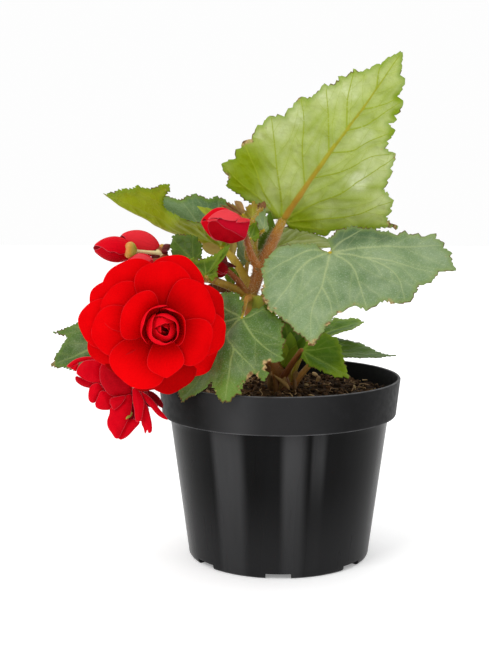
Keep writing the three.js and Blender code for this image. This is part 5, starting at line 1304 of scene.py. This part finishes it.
# Each stem: points, radii along it, its colours at the foot and the head, and how hairy it is.
STEMS = [
    ([(3, -1, 82), (1, -1, 94), (-8, -2, 111), (-14, -4, 127), NODE_LOW],
     (4.6, 4.4, 4.2, 4, 4), BROWN, PINK_BROWN, 0.04),
    ([(-14.5, -4, 134), NODE_LOW, (-12.5, -2, 148), (-8.7, 0, 158), (-3.5, 5.5, 169), HEAD["leaf_upright"]],
     (3.7, 3.5, 3.3, 3.1, 2.9, 2.4), BROWN, PINK_BROWN, 1.0),
    ([NODE_LOW, (-24, -10, 144.8), (-37, -20, 150.4), TRUSS, (-57, -45, 140), (-58.7, -54, 130.6)],
     (2.4, 2.15, 2.05, 1.95, 2, 2.2), OLIVE, TAN, 0.1),
    ([NODE_LOW, (-18, -2, 149), (-25, 2, 160), HEAD["leaf_upper_left"]], (2.6, 2.4, 2.2, 2), OLIVE, YELLOW, 0.1),
    ([NODE_LOW, (-17, -17, 139.5), (-18, -28, 135.8), HEAD["leaf_front"]],
     (2.2, 1.5, 1.1, 0.8), PINK_BROWN, YELLOW, 0.0),
    ([NODE_LOW, (-21, -10.5, 148), (-26.8, -15, 154.4)], (1.9, 1.7, 1.5), BROWN, RED, 0.1),
    ([(-14, -4, 132), (-2, -4, 146), (14, -10, 156), HEAD["leaf_right"]], (2.4, 2.2, 1.8, 1.0), OLIVE, YELLOW, 0.4),
    ([NODE_HIGH, (-15, -10, 163), (-17.7, -17, 173.4)], (2.5, 1.9, 1.5), PINK_BROWN, RED, 0.4),
    ([NODE_HIGH, (-14, 1, 165), (-12.8, 2.5, 176.5), (-9, 3.5, 187)], (2.4, 2.2, 2, 1.7), OLIVE, OLIVE, 0.6),
    ([NODE_HIGH, (-9, 16, 156), HEAD["leaf_behind"]], (2.2, 2, 1.8), OLIVE, YELLOW, 0.3),
    ([(-10, 2, 158), (-13, 16, 166), HEAD["leaf_rear"]], (2, 1.9, 1.7), OLIVE, YELLOW, 0.3),
    ([(-15, -3, 141), (-18, 5, 149), HEAD["leaf_mid_back"]], (1.7, 1.5, 1.3), OLIVE, OLIVE, 0.2),
    ([NODE_LOW, (-19, 2, 144), HEAD["leaf_mid_low"]], (1.7, 1.4, 1.2), OLIVE, OLIVE, 0.2),
    ([(-13.5, -1, 158), (-17, -5, 160.5), (-17.3, -7.6, 165.2)], (1.4, 1.2, 1.1), OLIVE, OLIVE, 0.2),
    ([(-12.6, 2.5, 176), (-17, 2, 180), HEAD["young_leaf_1"]], (1.3, 1.1, 1), YELLOW, YELLOW, 0.4),
    ([(-12.6, 2.5, 176), (-13, 4, 179), HEAD["young_leaf_2"]], (1.3, 1.1, 1), YELLOW, YELLOW, 0.4),
    ([(-13.2, 1, 164), (-14.6, -2, 167.5), HEAD["young_leaf_3"]], (1.3, 1.1, 1), YELLOW, YELLOW, 0.4),
    ([(-13.4, 2, 169), (-11.4, 1, 172.5), HEAD["young_leaf_4"]], (1.3, 1.1, 1), OLIVE, YELLOW, 0.4),
    ([(-47, -28, 151.5), (-63, -27, 146), (-74, -26, 128), (-77.5, -30, 106), (-75.8, -35.8, 95.5)],
     (1.6, 1.5, 1.4, 1.4, 1.6), BROWN, PALE, 0.1),
    ([(-46, -27, 151.5), (-54, -24, 158), (-60.5, -24.5, 164.6)], (1.7, 1.6, 1.9), RED, RED, 0.1),
    ([(-59, -24.5, 163.5), (-65, -27.5, 164.6), (-74, -30.2, 165.4)], (1.5, 1, 1.1), PALE, PALE, 0.0),
    ([(-59, -24.5, 163.5), (-60.5, -22.5, 165), (-63, -21, 166.8)], (1.9, 2, 1.9), RED, RED, 0.0),
    ([(-58.5, -24.5, 163), (-60.5, -28, 161), (-65, -31.5, 160.5)], (1.5, 1.3, 1.3), RED, RED, 0.0),
    ([(-37, -19.5, 152.4), (-41, -19, 156.5), HEAD["leaf_small_mid"]], (1.5, 1.4, 1.2), BROWN, OLIVE, 0.1),
    ([(-33, -17, 150.8), (-35.5, -22, 149.5), HEAD["leaf_fold"]], (1.5, 1.3, 1.1), BROWN, OLIVE, 0.1),
    ([(-1, 0, 84), (-8, 2, 100), (-38, 1, 113), (-66, -2, 119), HEAD["leaf_left"]],
     (2.6, 2.3, 2.1, 1.9, 1.7), RED, OLIVE, 0.2),
    ([(-2, -3, 85), (2, -6, 96), (7, -9.5, 105), HEAD["leaf_low_right"]], (2.3, 2.1, 1.7, 1.4), RED, BROWN, 0.0),
    ([(6, 0, 84), (9, 1, 93), (17, 7, 102), HEAD["leaf_right_low"]], (2.2, 1.9, 1.6, 1.3), PINK_BROWN, OLIVE, 0.0),
    ([(5, 3, 84), (7, 6, 95), (13, 14, 107), HEAD["leaf_right_mid"]], (2.1, 1.8, 1.6, 1.3), YELLOW, OLIVE, 0.0),
    ([(1, 4, 84), (-1, 9, 97), (-6, 30, 113), HEAD["leaf_back_low"]], (2.5, 2.2, 2, 1.6), RED, OLIVE, 0.1),
    ([(3, 2, 84), (5, 3, 98), HEAD["leaf_low_mid"]], (2, 1.8, 1.4), OLIVE, OLIVE, 0.1),
    ([(-3, -4, 84), (-4.5, -6, 93), (-5, -7, 99)], (2.2, 2, 1.3), TAN, TAN, 0.0),
    ([(-1.5, -7, 84), (-1.5, -9, 92), (-2.5, -9.5, 98)], (1.8, 1.6, 1.1), TAN, BROWN, 0.0),
    ([(7, -5, 84), (8.5, -6.5, 90), (8, -6.5, 97)], (1.5, 1.3, 0.8), TAN, TAN, 0.0),
]
# Swollen nodes: place and half height.
SWELLINGS = [(NODE_LOW, 4.6), (NODE_HIGH, 3.7), (TRUSS, 2.6), ((-61.2, -24.3, 164.8), 2.5), ((2, -1, 85), 7)]
SOIL_LEVEL = 87


def tube(points, radii, sides=12, spacing=1.0):
    """A closed tube with rounded ends along a smooth line: points, faces, line and radius along it."""
    line = smooth_line(points, spacing)
    share = np.linspace(0, len(radii) - 1, len(line))
    r = np.interp(share, np.arange(len(radii)), radii)
    ahead = unit(np.gradient(line, axis=0))
    up = np.array([0.3, 0.8, 0.5])
    rings = []
    for k in range(len(line)):
        up = unit(up - ahead[k] * up.dot(ahead[k]))
        other = np.cross(ahead[k], up)
        a = np.arange(sides) * 2 * math.pi / sides
        rings.append(line[k] + r[k] * (np.cos(a)[:, None] * up + np.sin(a)[:, None] * other))
    caps = []
    for end, way, rad, ring in ((line[0], -ahead[0], r[0], rings[0]), (line[-1], ahead[-1], r[-1], rings[-1])):
        caps.append([end + way * rad * math.sin(q) + (ring - end) * math.cos(q) for q in (0.6, 1.15)])
    layers = [caps[0][1], caps[0][0], *rings, caps[1][0], caps[1][1]]
    points = np.vstack([*layers, [line[0] - ahead[0] * r[0]], [line[-1] + ahead[-1] * r[-1]]])
    faces = []
    for k in range(len(layers) - 1):
        for j in range(sides):
            n = (j + 1) % sides
            faces.append((k * sides + j, k * sides + n, (k + 1) * sides + n, (k + 1) * sides + j))
    last = len(layers) * sides
    for j in range(sides):
        n = (j + 1) % sides
        faces.append((last, n, j))
        faces.append((last + 1, last - sides + j, last - sides + n))
    return points, faces, line, r


def stem_finish():
    f = Finish("stem skin", 0.45, Specular_IOR_Level=0.2)
    base = f.attribute("skin", "Color")
    streak = f.noise(420, 3.0, 0.6, stretch=(1, 1, 0.22))
    base = f.mix(f.steps(streak, 0.45, 0.75, 0.0, 0.28), base, "#6e4420")
    base = f.mix(f.steps(f.noise(160, 2.0), 0.5, 0.75, 0.0, 0.15), base, "#c69c50")
    base = f.mix(f.steps(f.noise(2600, 1.0), 0.62, 0.74, 0.0, 0.1), base, "#e6d6b0")
    f.colour(base)
    f.bump((streak, 0.3, 0.25), (f.noise(1500, 2.0), 0.25, 0.1))
    return f


def tinted(skin, code, share):
    """Skin colours with a share of a hex colour laid over each."""
    return skin * (1 - share) + np.array(linear(code)[:3]) * share


def make_stems():
    """All stems as tubes, with a ball at each swollen node, grown into one skin."""
    tubes = Gather()
    lines, radii, tints, hairs = [], [], [], []
    palette = np.array([linear(c)[:3] for c in STEM_COLOURS])
    for route, size, foot, head, hairy in STEMS:
        points, faces, line, r = tube(route, size)
        tubes.add((points, faces, {}))
        s = np.linspace(0, 1, len(line))[:, None] ** 1.5
        lines.append(line)
        radii.append(r)
        # Painted shade: darker towards the soil, under the crown's leaves.
        tints.append((palette[foot] * (1 - s) + palette[head] * s) * np.clip((line[:, 2:] - 64) / 48, 0.5, 1))
        hairs.append(np.full(len(line), hairy))
    for spot, size in SWELLINGS:
        tubes.add(barrel_body(np.array(spot) - (0, 0, size), np.array(spot) + (0, 0, size), size, 12, 16))
    mesh = bpy.data.meshes.new("stems")
    mesh.from_pydata((np.vstack(tubes.points) * MM).tolist(), [], [list(map(int, f)) for f in tubes.faces])
    stems = put_in_scene("stems_grown", mesh)
    clear_selection()
    bpy.context.view_layer.objects.active = stems
    stems.select_set(True)
    mesh.remesh_voxel_size = 0.55 * MM
    bpy.ops.object.voxel_remesh()
    ease = stems.modifiers.new("ease", "SMOOTH")
    ease.factor, ease.iterations = 0.5, 4
    bpy.ops.object.modifier_apply(modifier="ease")
    mesh = stems.data
    place = read_vertices(mesh, "co") / MM
    line, radius, tint, hairy = np.vstack(lines), np.concatenate(radii), np.vstack(tints), np.concatenate(hairs)
    # Each point takes after the stem whose skin is nearest.
    near = np.concatenate([
        np.argmin(np.linalg.norm(block[:, None, :] - line[None], axis=2) - radius, axis=1)
        for block in np.array_split(place, 1 + len(place) // 4000)])
    # Brown in the soil, a green sheath at the low node and gold at the foot of the upright leaf.
    skin = tinted(tint[near], "#4a2c1a", 1 - eased(place[:, 2], SOIL_LEVEL - 1, SOIL_LEVEL + 7)[:, None])
    sheath = np.exp(-((np.linalg.norm(place - (-14.5, -6, 137.5), axis=1) / 4.5) ** 4))[:, None]
    skin = tinted(skin, "#8f9432", 0.75 * sheath)
    golden = np.exp(-((np.linalg.norm(place - HEAD["leaf_upright"], axis=1) / 8) ** 2))[:, None]
    skin = tinted(skin, "#a88c18", 0.9 * golden)
    layer = mesh.attributes.new("skin", "FLOAT_COLOR", "POINT")
    layer.data.foreach_set("color", np.column_stack([skin, np.ones(len(skin))]).ravel())
    mesh.polygons.foreach_set("use_smooth", [True] * len(mesh.polygons))
    settle(stems, stem_finish(), ("stems",))
    make_hairs(place, read_vertices(mesh, "normal"), hairy[near])


def make_hairs(skin_points, normals, hairy):
    """Short pale hairs on the stems, thickest on the upright leaf's stalk."""
    lowest, share, stray = 100, 0.3, 0.003
    radius = 0.085
    draw = random.Random(5)
    points, faces = [], []
    for at, out, thick in zip(skin_points, normals, hairy):
        if at[2] < lowest or draw.random() > share * thick + stray:
            continue
        root = at - out * 0.15
        way = unit(out + np.array([draw.uniform(-0.45, 0.45) for _ in range(3)]) + [0, 0, 0.1])
        side = unit(np.cross(way, [0.3, 0.5, 0.8]))
        up = np.cross(way, side)
        length = draw.uniform(1.1, 2.4)
        n = len(points)
        points += [root + radius * (math.cos(a) * side + math.sin(a) * up) for a in (0, 2.09, 4.19)]
        points.append(root + way * length)
        faces += [(n, n + 1, n + 3), (n + 1, n + 2, n + 3), (n + 2, n, n + 3), (n, n + 2, n + 1)]
    hair = Finish("hair pale", 0.5)
    hair.colour(hair.mix(hair.noise(300), "#e2d6b8", "#c4ac7c"))
    piece_from("stem_hairs", points, faces, hair, "stem", smooth=False)


make_stems()
small_parts()


def make_pot():
    # Radii of the foot, the body's top, the collar's foot and the rim, then the thickness of wall and floor.
    base, body_top, foot, rim, wall, floor = 48.7, 58.8, 62.9, 65, 1.5, 1.6
    clear_selection()
    bpy.ops.mesh.primitive_circle_add(vertices=144, radius=(base - 1.6) * MM, fill_type="NGON", location=(0, 0, 0))
    pot = bpy.context.object
    pot.name = "pot_moulded"
    bpy.ops.object.mode_set(mode="EDIT")
    bpy.ops.mesh.select_all(action="SELECT")
    outer = lambda z: base + (body_top - base) * z / 77
    # Radius and height of each ring: up the outside, over the rim and down the inside.
    rings = [
        (base - 0.8, 0.12), (base - 0.25, 0.5), (outer(1.3), 1.3), (outer(4), 4), (outer(40), 40), (outer(73), 73),
        (body_top - 0.1, 76.2), (body_top + 0.2, 76.8), (body_top + 0.8, 77), (foot - 0.9, 77), (foot - 0.3, 77.2),
        (foot, 77.8), (foot + 0.1, 79), (63.9, 87), (rim - 0.1, 95.8), (rim, 96.4), (rim - 0.25, 96.85),
        (rim - 0.7, 97), (rim - wall + 0.5, 97), (rim - wall + 0.1, 96.8), (rim - wall - 0.1, 96.2),
        (foot - wall + 0.1, 80), (foot - wall - 0.2, 78.7), (foot - wall - 0.8, 78.5), (body_top - wall + 0.3, 78.5),
        (body_top - wall - 0.1, 78), (outer(floor) - wall, floor + 0.6), (outer(floor) - wall - 0.8, floor),
    ]
    radius, height = base - 1.6, 0.0
    for r, z in rings:
        bpy.ops.mesh.extrude_region_move(TRANSFORM_OT_translate={"value": (0, 0, (z - height) * MM)})
        bpy.ops.transform.resize(value=(r / radius, r / radius, 1))
        radius, height = r, z
    turn_outward()
    # The first face stayed below as the underside; drain notches are cut through the foot's edge.
    clear_selection()
    notches, notch_size = 7, (18 * MM, 13 * MM, 5.2 * MM)
    cutters = []
    for i in range(notches):
        turn = (i * 360 / notches - 90) * DEG
        at = (base * MM * math.cos(turn), base * MM * math.sin(turn), 0)
        bpy.ops.mesh.primitive_cube_add(size=1, location=at, rotation=(0, 0, turn))
        cutters.append(bpy.context.object)
        cutters[-1].scale = notch_size
    clear_selection()
    for cutter in cutters:
        cutter.select_set(True)
    bpy.context.view_layer.objects.active = cutters[0]
    bpy.ops.object.transform_apply(location=True, rotation=True, scale=True)
    bpy.ops.object.join()
    cutter = bpy.context.object
    clear_selection()
    bpy.context.view_layer.objects.active = pot
    pot.select_set(True)
    cut = pot.modifiers.new("notches", "BOOLEAN")
    cut.operation, cut.solver, cut.object = "DIFFERENCE", "EXACT", cutter
    bpy.ops.object.modifier_apply(modifier="notches")
    bpy.data.objects.remove(cutter)
    soften = pot.modifiers.new("soften", "BEVEL")
    soften.width, soften.segments = 0.25 * MM, 2
    soften.limit_method, soften.angle_limit = "ANGLE", 50 * DEG
    bpy.ops.object.modifier_apply(modifier="soften")
    bpy.ops.object.shade_smooth_by_angle(angle=32 * DEG)
    bpy.ops.object.transform_apply(location=True, rotation=True, scale=True)
    settle(pot, pot_finish(), ("pot",))


def pot_finish():
    """Glossy near-black plastic with painted upright sheens and a lighter foot, a satin collar painted lighter on its
    left, and painted highlight lines on its edges.
    """
    f = Finish("pot plastic", 0.3, Specular_IOR_Level=0.065)
    coord = f.node("SeparateXYZ")
    f.link(f.place, coord.inputs[0])
    z = coord.outputs["Z"]
    collar_foot, rim_top = 0.0768, 0.0964
    collar = f.steps(z, collar_foot, collar_foot + 0.0006)
    # Radians round the pot from its front, positive to the right, a little uneven.
    angle = f.math("ARCTAN2", coord.outputs["X"], f.times(coord.outputs["Y"], -1.0))
    uneven = f.math("ADD", angle, f.steps(f.noise(11, 2.0, stretch=(1, 1, 0.25)), 0.25, 0.75, -0.06, 0.06))
    # Painted sheens: lighter upright bands where the studio light's reflections fall, fainter towards the foot, and two
    # more at the sides.
    sheen_band = lambda a, b, c, d: f.times(f.steps(uneven, a, b), f.steps(uneven, c, d, 1.0, 0.0))
    painted_sheens = f.math("MAXIMUM", sheen_band(-0.64, -0.55, -0.38, -0.27), sheen_band(0.03, 0.12, 0.24, 0.33))
    painted_sheens = f.math("MAXIMUM", painted_sheens, f.times(sheen_band(0.33, 0.37, 0.44, 0.5), f.steps(z, 0.03, 0.07, 0.1, 0.75)))
    painted_sheens = f.times(painted_sheens, f.steps(z, 0.0, 0.06, 0.55, 1.0))
    painted_sheens = f.math("MAXIMUM", painted_sheens, f.math("MAXIMUM", sheen_band(1.6, 1.75, 2.1, 2.25), sheen_band(-2.4, -2.25, -1.9, -1.7)))
    streaks = f.noise(60, 3.0, 0.6, stretch=(1, 1, 0.06))
    dust = f.steps(f.noise(2400, 2.0, 0.6), 0.66, 0.78)
    shade = f.mix(f.steps(streaks, 0.3, 0.75), "#050505", "#0d0d0e")
    # Painted light: the body lighter towards the foot, near the pale floor.
    shade = f.mix(f.steps(z, 0.0, 0.055, 0.8, 0.0), shade, "#262627")
    shade = f.mix(f.times(painted_sheens, f.steps(streaks, 0.2, 0.8, 0.65, 1.0)), shade, "#3d3d3e")
    # The collar's colour is painted light: lighter on the left and darker to the right, with a faint mottle.
    collar_painted_light = f.mix(f.steps(uneven, -0.74, -0.26), "#0a0a0a", "#373738")
    collar_painted_light = f.mix(f.steps(uneven, -0.34, -0.08), collar_painted_light, "#272728")
    collar_painted_light = f.mix(f.steps(uneven, 0.15, 0.75), collar_painted_light, "#101011")
    collar_painted_light = f.mix(f.steps(f.noise(140, 4.0, 0.7), 0.45, 0.75, 0.0, 0.2), collar_painted_light, "#2c2c2d")
    shade = f.mix(collar, shade, collar_painted_light)
    # Painted highlights: broken light lines along the rim and at the collar's foot.
    under = f.times(f.steps(z, collar_foot, 0.0771), f.steps(z, 0.0774, 0.0778, 1.0, 0.0))
    lines = f.math("MAXIMUM", f.steps(z, rim_top, rim_top + 0.0004), under)
    shade = f.mix(f.times(lines, f.steps(f.noise(120, 3.0), 0.3, 0.7, 0.25, 0.8)), shade, "#5e5e60")
    shade = f.mix(f.times(dust, 0.12), shade, "#6a6a6a")
    f.colour(shade)
    f.roughness(f.mix(collar, f.steps(streaks, 0.3, 0.7, 0.24, 0.34), f.steps(f.noise(300, 3.0), 0.3, 0.7, 0.42, 0.52)))
    f.bump((f.noise(2600, 2.0), 0.08, 0.04))
    return f


make_pot()


def soil_height(x, y):
    """A low mound round the crown with broad lumps."""
    r = np.hypot(x - 2, y + 1)
    lumps = np.sin(x * 0.31 + 1.2) * np.cos(y * 0.27 - 0.6) + 0.6 * np.sin(x * 0.17 - y * 0.41)
    return SOIL_LEVEL + 2.5 * np.exp(-((r / 26) ** 2)) + 1.1 * lumps


def make_soil():
    steps = 96
    edge, underside = 62.0, 70
    clear_selection()
    bpy.ops.mesh.primitive_grid_add(x_subdivisions=steps, y_subdivisions=steps, size=2, location=(0, 0, 0))
    soil = bpy.context.object
    soil.name = "soil_bed"
    bpy.ops.object.mode_set(mode="EDIT")
    bpy.ops.mesh.select_all(action="SELECT")
    bpy.ops.mesh.extrude_region_move(TRANSFORM_OT_translate={"value": (0, 0, 1)})
    bpy.ops.object.mode_set(mode="OBJECT")
    for v in soil.data.vertices:
        x, y = v.co.x, v.co.y
        r = math.hypot(x, y)
        reach = max(abs(x), abs(y)) / r if r > 1e-9 else 0
        x, y = x * reach * edge, y * reach * edge
        if v.co.z > 0.5:
            rough = noise.fractal(Vector((x * 0.16, y * 0.16, 3)), 0.9, 2.1, 5) * 1.5
            rough += abs(noise.noise(Vector((x * 0.55, y * 0.55, 9)))) * 1.4
            v.co = Vector((x * MM, y * MM, (float(soil_height(x, y)) + rough - 0.6) * MM))
        else:
            v.co = Vector((x * 0.9 * MM, y * 0.9 * MM, underside * MM))
    turn_outward()
    soil.data.polygons.foreach_set("use_smooth", [True] * len(soil.data.polygons))
    f = Finish("potting soil", 0.95, Specular_IOR_Level=0.2)
    grains = f.noise(900, 4.0, 0.65)
    clods = f.noise(180, 4.0, 0.6)
    earth = f.mix(f.steps(clods, 0.3, 0.7), "#2a1d12", "#5c4129")
    earth = f.mix(f.steps(grains, 0.5, 0.72, 0.0, 0.6), earth, "#87633f")
    earth = f.mix(f.steps(f.noise(50, 2.0), 0.45, 0.6, 0.65, 0.0), earth, "#1a120b")
    f.colour(earth)
    f.bump((clods, 0.7, 1.2), (grains, 0.8, 0.7))
    settle(soil, f, ("soil",))


SOIL_REACH = 60
CRUMBS, FIBRES, CHIPS = 900, 130, 46


def make_soil_bits():
    """Crumbs, root fibres and chips of bark lying on the soil."""
    draw = random.Random(11)
    crumbs, fibres, chips = ([], []), ([], []), ([], [])
    bpy.ops.mesh.primitive_ico_sphere_add(subdivisions=2, radius=1)
    seedling = bpy.context.object
    ball = np.array([v.co for v in seedling.data.vertices])
    ball_faces = [tuple(p.vertices) for p in seedling.data.polygons]
    bpy.data.objects.remove(seedling)

    def scatter(target, points, faces):
        n = sum(len(p) for p in target[0])
        target[0].append(points)
        target[1].extend(tuple(i + n for i in face) for face in faces)

    def spot(reach=SOIL_REACH):
        r, a = reach * math.sqrt(draw.random()), draw.uniform(0, 2 * math.pi)
        x, y = r * math.cos(a), r * math.sin(a)
        return np.array([x, y, float(soil_height(x, y))])

    def lumpy(depth, scale, shift):
        shift = Vector((shift, 0, 0))
        return ball * np.array([1 + depth * noise.noise(Vector(p) * scale + shift) for p in ball])[:, None]

    def turned(shape, size, at):
        angle = draw.uniform(0, 6.28)
        axis = Vector([draw.uniform(-1, 1) for _ in range(3)]).normalized()
        return (shape * size) @ np.array(Matrix.Rotation(angle, 3, axis)).T + at

    for _ in range(CRUMBS):
        size = draw.uniform(0.45, 1.6) ** 1.2
        shape = lumpy(0.45, 1.3, draw.uniform(0, 90))
        sizes = np.array([size, size * draw.uniform(0.6, 1), size * draw.uniform(0.5, 0.9)])
        scatter(crumbs, turned(shape, sizes, spot() + [0, 0, 0.25 + 0.3 * size]), ball_faces)
    for _ in range(FIBRES):
        at = spot(SOIL_REACH - 2)
        heading = draw.uniform(0, 6.28)
        length = draw.uniform(4, 13)
        route = []
        for _ in range(6):
            route.append(at + [0, 0, draw.uniform(0.4, 1.8)])
            heading += draw.uniform(-0.7, 0.7)
            at = at + length / 5 * np.array([math.cos(heading), math.sin(heading), 0])
            if np.hypot(at[0], at[1]) > SOIL_REACH - 1:
                break
            at[2] = float(soil_height(at[0], at[1]))
        if len(route) > 2:
            p, faces, _, _ = tube(route, [draw.uniform(0.13, 0.32)] * len(route), 5, 1.2)
            scatter(fibres, p, faces)
    for _ in range(CHIPS):
        size = draw.uniform(1.2, 2.6)
        shape = lumpy(0.3, 1.1, size * 9)
        scatter(chips, turned(shape, size * np.array([1, 0.5, 0.28]), spot() + [0, 0, 0.9]), ball_faces)

    clod = Finish("soil crumb", 0.95, Specular_IOR_Level=0.2)
    lump = clod.mix(clod.steps(clod.noise(260, 3.0), 0.3, 0.7), "#241910", "#765435")
    clod.colour(clod.mix(clod.steps(clod.noise(50, 2.0), 0.45, 0.6, 0.6, 0.0), lump, "#1a120b"))
    clod.bump((clod.noise(1300, 3.0), 0.7, 0.4))
    piece_from("soil_crumbs", np.vstack(crumbs[0]), crumbs[1], clod, "potting_soil")
    root = Finish("soil fibre", 0.8)
    root.colour(root.mix(root.steps(root.noise(90, 2.0), 0.4, 0.6), "#6a4c2e", "#b8966a"))
    root.bump((root.noise(1600, 2.0), 0.4, 0.1))
    piece_from("soil_fibres", np.vstack(fibres[0]), fibres[1], root, "potting_soil")
    chip = Finish("soil chip", 0.75)
    chip.colour(chip.mix(chip.steps(chip.noise(150, 3.0), 0.35, 0.65), "#7d5c38", "#c4a676"))
    chip.bump((chip.noise(1100, 3.0), 0.5, 0.2))
    piece_from("soil_chips", np.vstack(chips[0]), chips[1], chip, "potting_soil")


make_soil()
make_soil_bits()

PLANT_MIDDLE = Vector((-0.02, 0, 0.13))


def floor_and_light():
    clear_selection()
    bpy.ops.mesh.primitive_plane_add(size=6, location=(0, 0, 0))
    floor = bpy.context.object
    floor.name = "floor"
    pale = Finish("floor pale", 0.9, Specular_IOR_Level=0.1, Emission_Color=(1, 1, 1, 1), Emission_Strength=0.24)
    pale.colour(pale.mix(pale.noise(3), "#f4f4f4", "#f8f8f8"))
    floor.data.materials.append(pale.material)
    world = bpy.data.worlds.new("studio")
    bpy.context.scene.world = world
    world.use_nodes = True
    tree = world.node_tree
    way = tree.nodes.new("ShaderNodeTexCoord").outputs["Generated"]
    split = tree.nodes.new("ShaderNodeSeparateXYZ")
    tree.links.new(way, split.inputs[0])
    both = tree.nodes.new("ShaderNodeMath")
    # A white wall behind the plant with a dimmer room in front of it, and a wide soft light overhead.
    for k, (axis, start, end, dim, full) in enumerate((("Y", -0.4, 0.55, 0.42, 0.985), ("Z", 0.35, 1.0, 0.0, 0.6))):
        ramp = tree.nodes.new("ShaderNodeMapRange")
        ramp.interpolation_type = "SMOOTHSTEP"
        for socket, value in (("From Min", start), ("From Max", end), ("To Min", dim), ("To Max", full)):
            ramp.inputs[socket].default_value = value
        tree.links.new(split.outputs[axis], ramp.inputs["Value"])
        tree.links.new(ramp.outputs["Result"], both.inputs[k])
    tree.links.new(both.outputs[0], tree.nodes["Background"].inputs["Strength"])
    tree.nodes["Background"].inputs["Color"].default_value = (1, 1, 1, 1)
    for name, place, size, power in (
        ("key", (-0.75, -0.9, 0.95), (0.6, 0.8), 8),
        ("fill", (0.95, -0.7, 0.6), (0.5, 0.9), 2),
    ):
        light = bpy.data.lights.new(name, "AREA")
        light.shape, light.size, light.size_y, light.energy = "RECTANGLE", *size, power
        lamp = put_in_scene(name, light)
        lamp.location = place
        lamp.rotation_euler = (PLANT_MIDDLE - Vector(place)).to_track_quat("-Z", "Y").to_euler()
    bpy.context.scene.view_settings.view_transform = "Standard"
    bpy.context.scene.view_settings.look = "None"


def camera():
    """The photograph's camera: in front of the plant, tilted down and turned a little to the left."""
    tilt, turn = 7.4, 1.7
    made = bpy.data.cameras.new("camera")
    made.sensor_width = 36
    made.lens = 63.61
    eye = put_in_scene("camera", made)
    eye.location = (0, -0.6262, 0.2012)
    eye.rotation_euler = ((90 - tilt) * DEG, 0, turn * DEG)
    bpy.context.scene.camera = eye


floor_and_light()
camera()
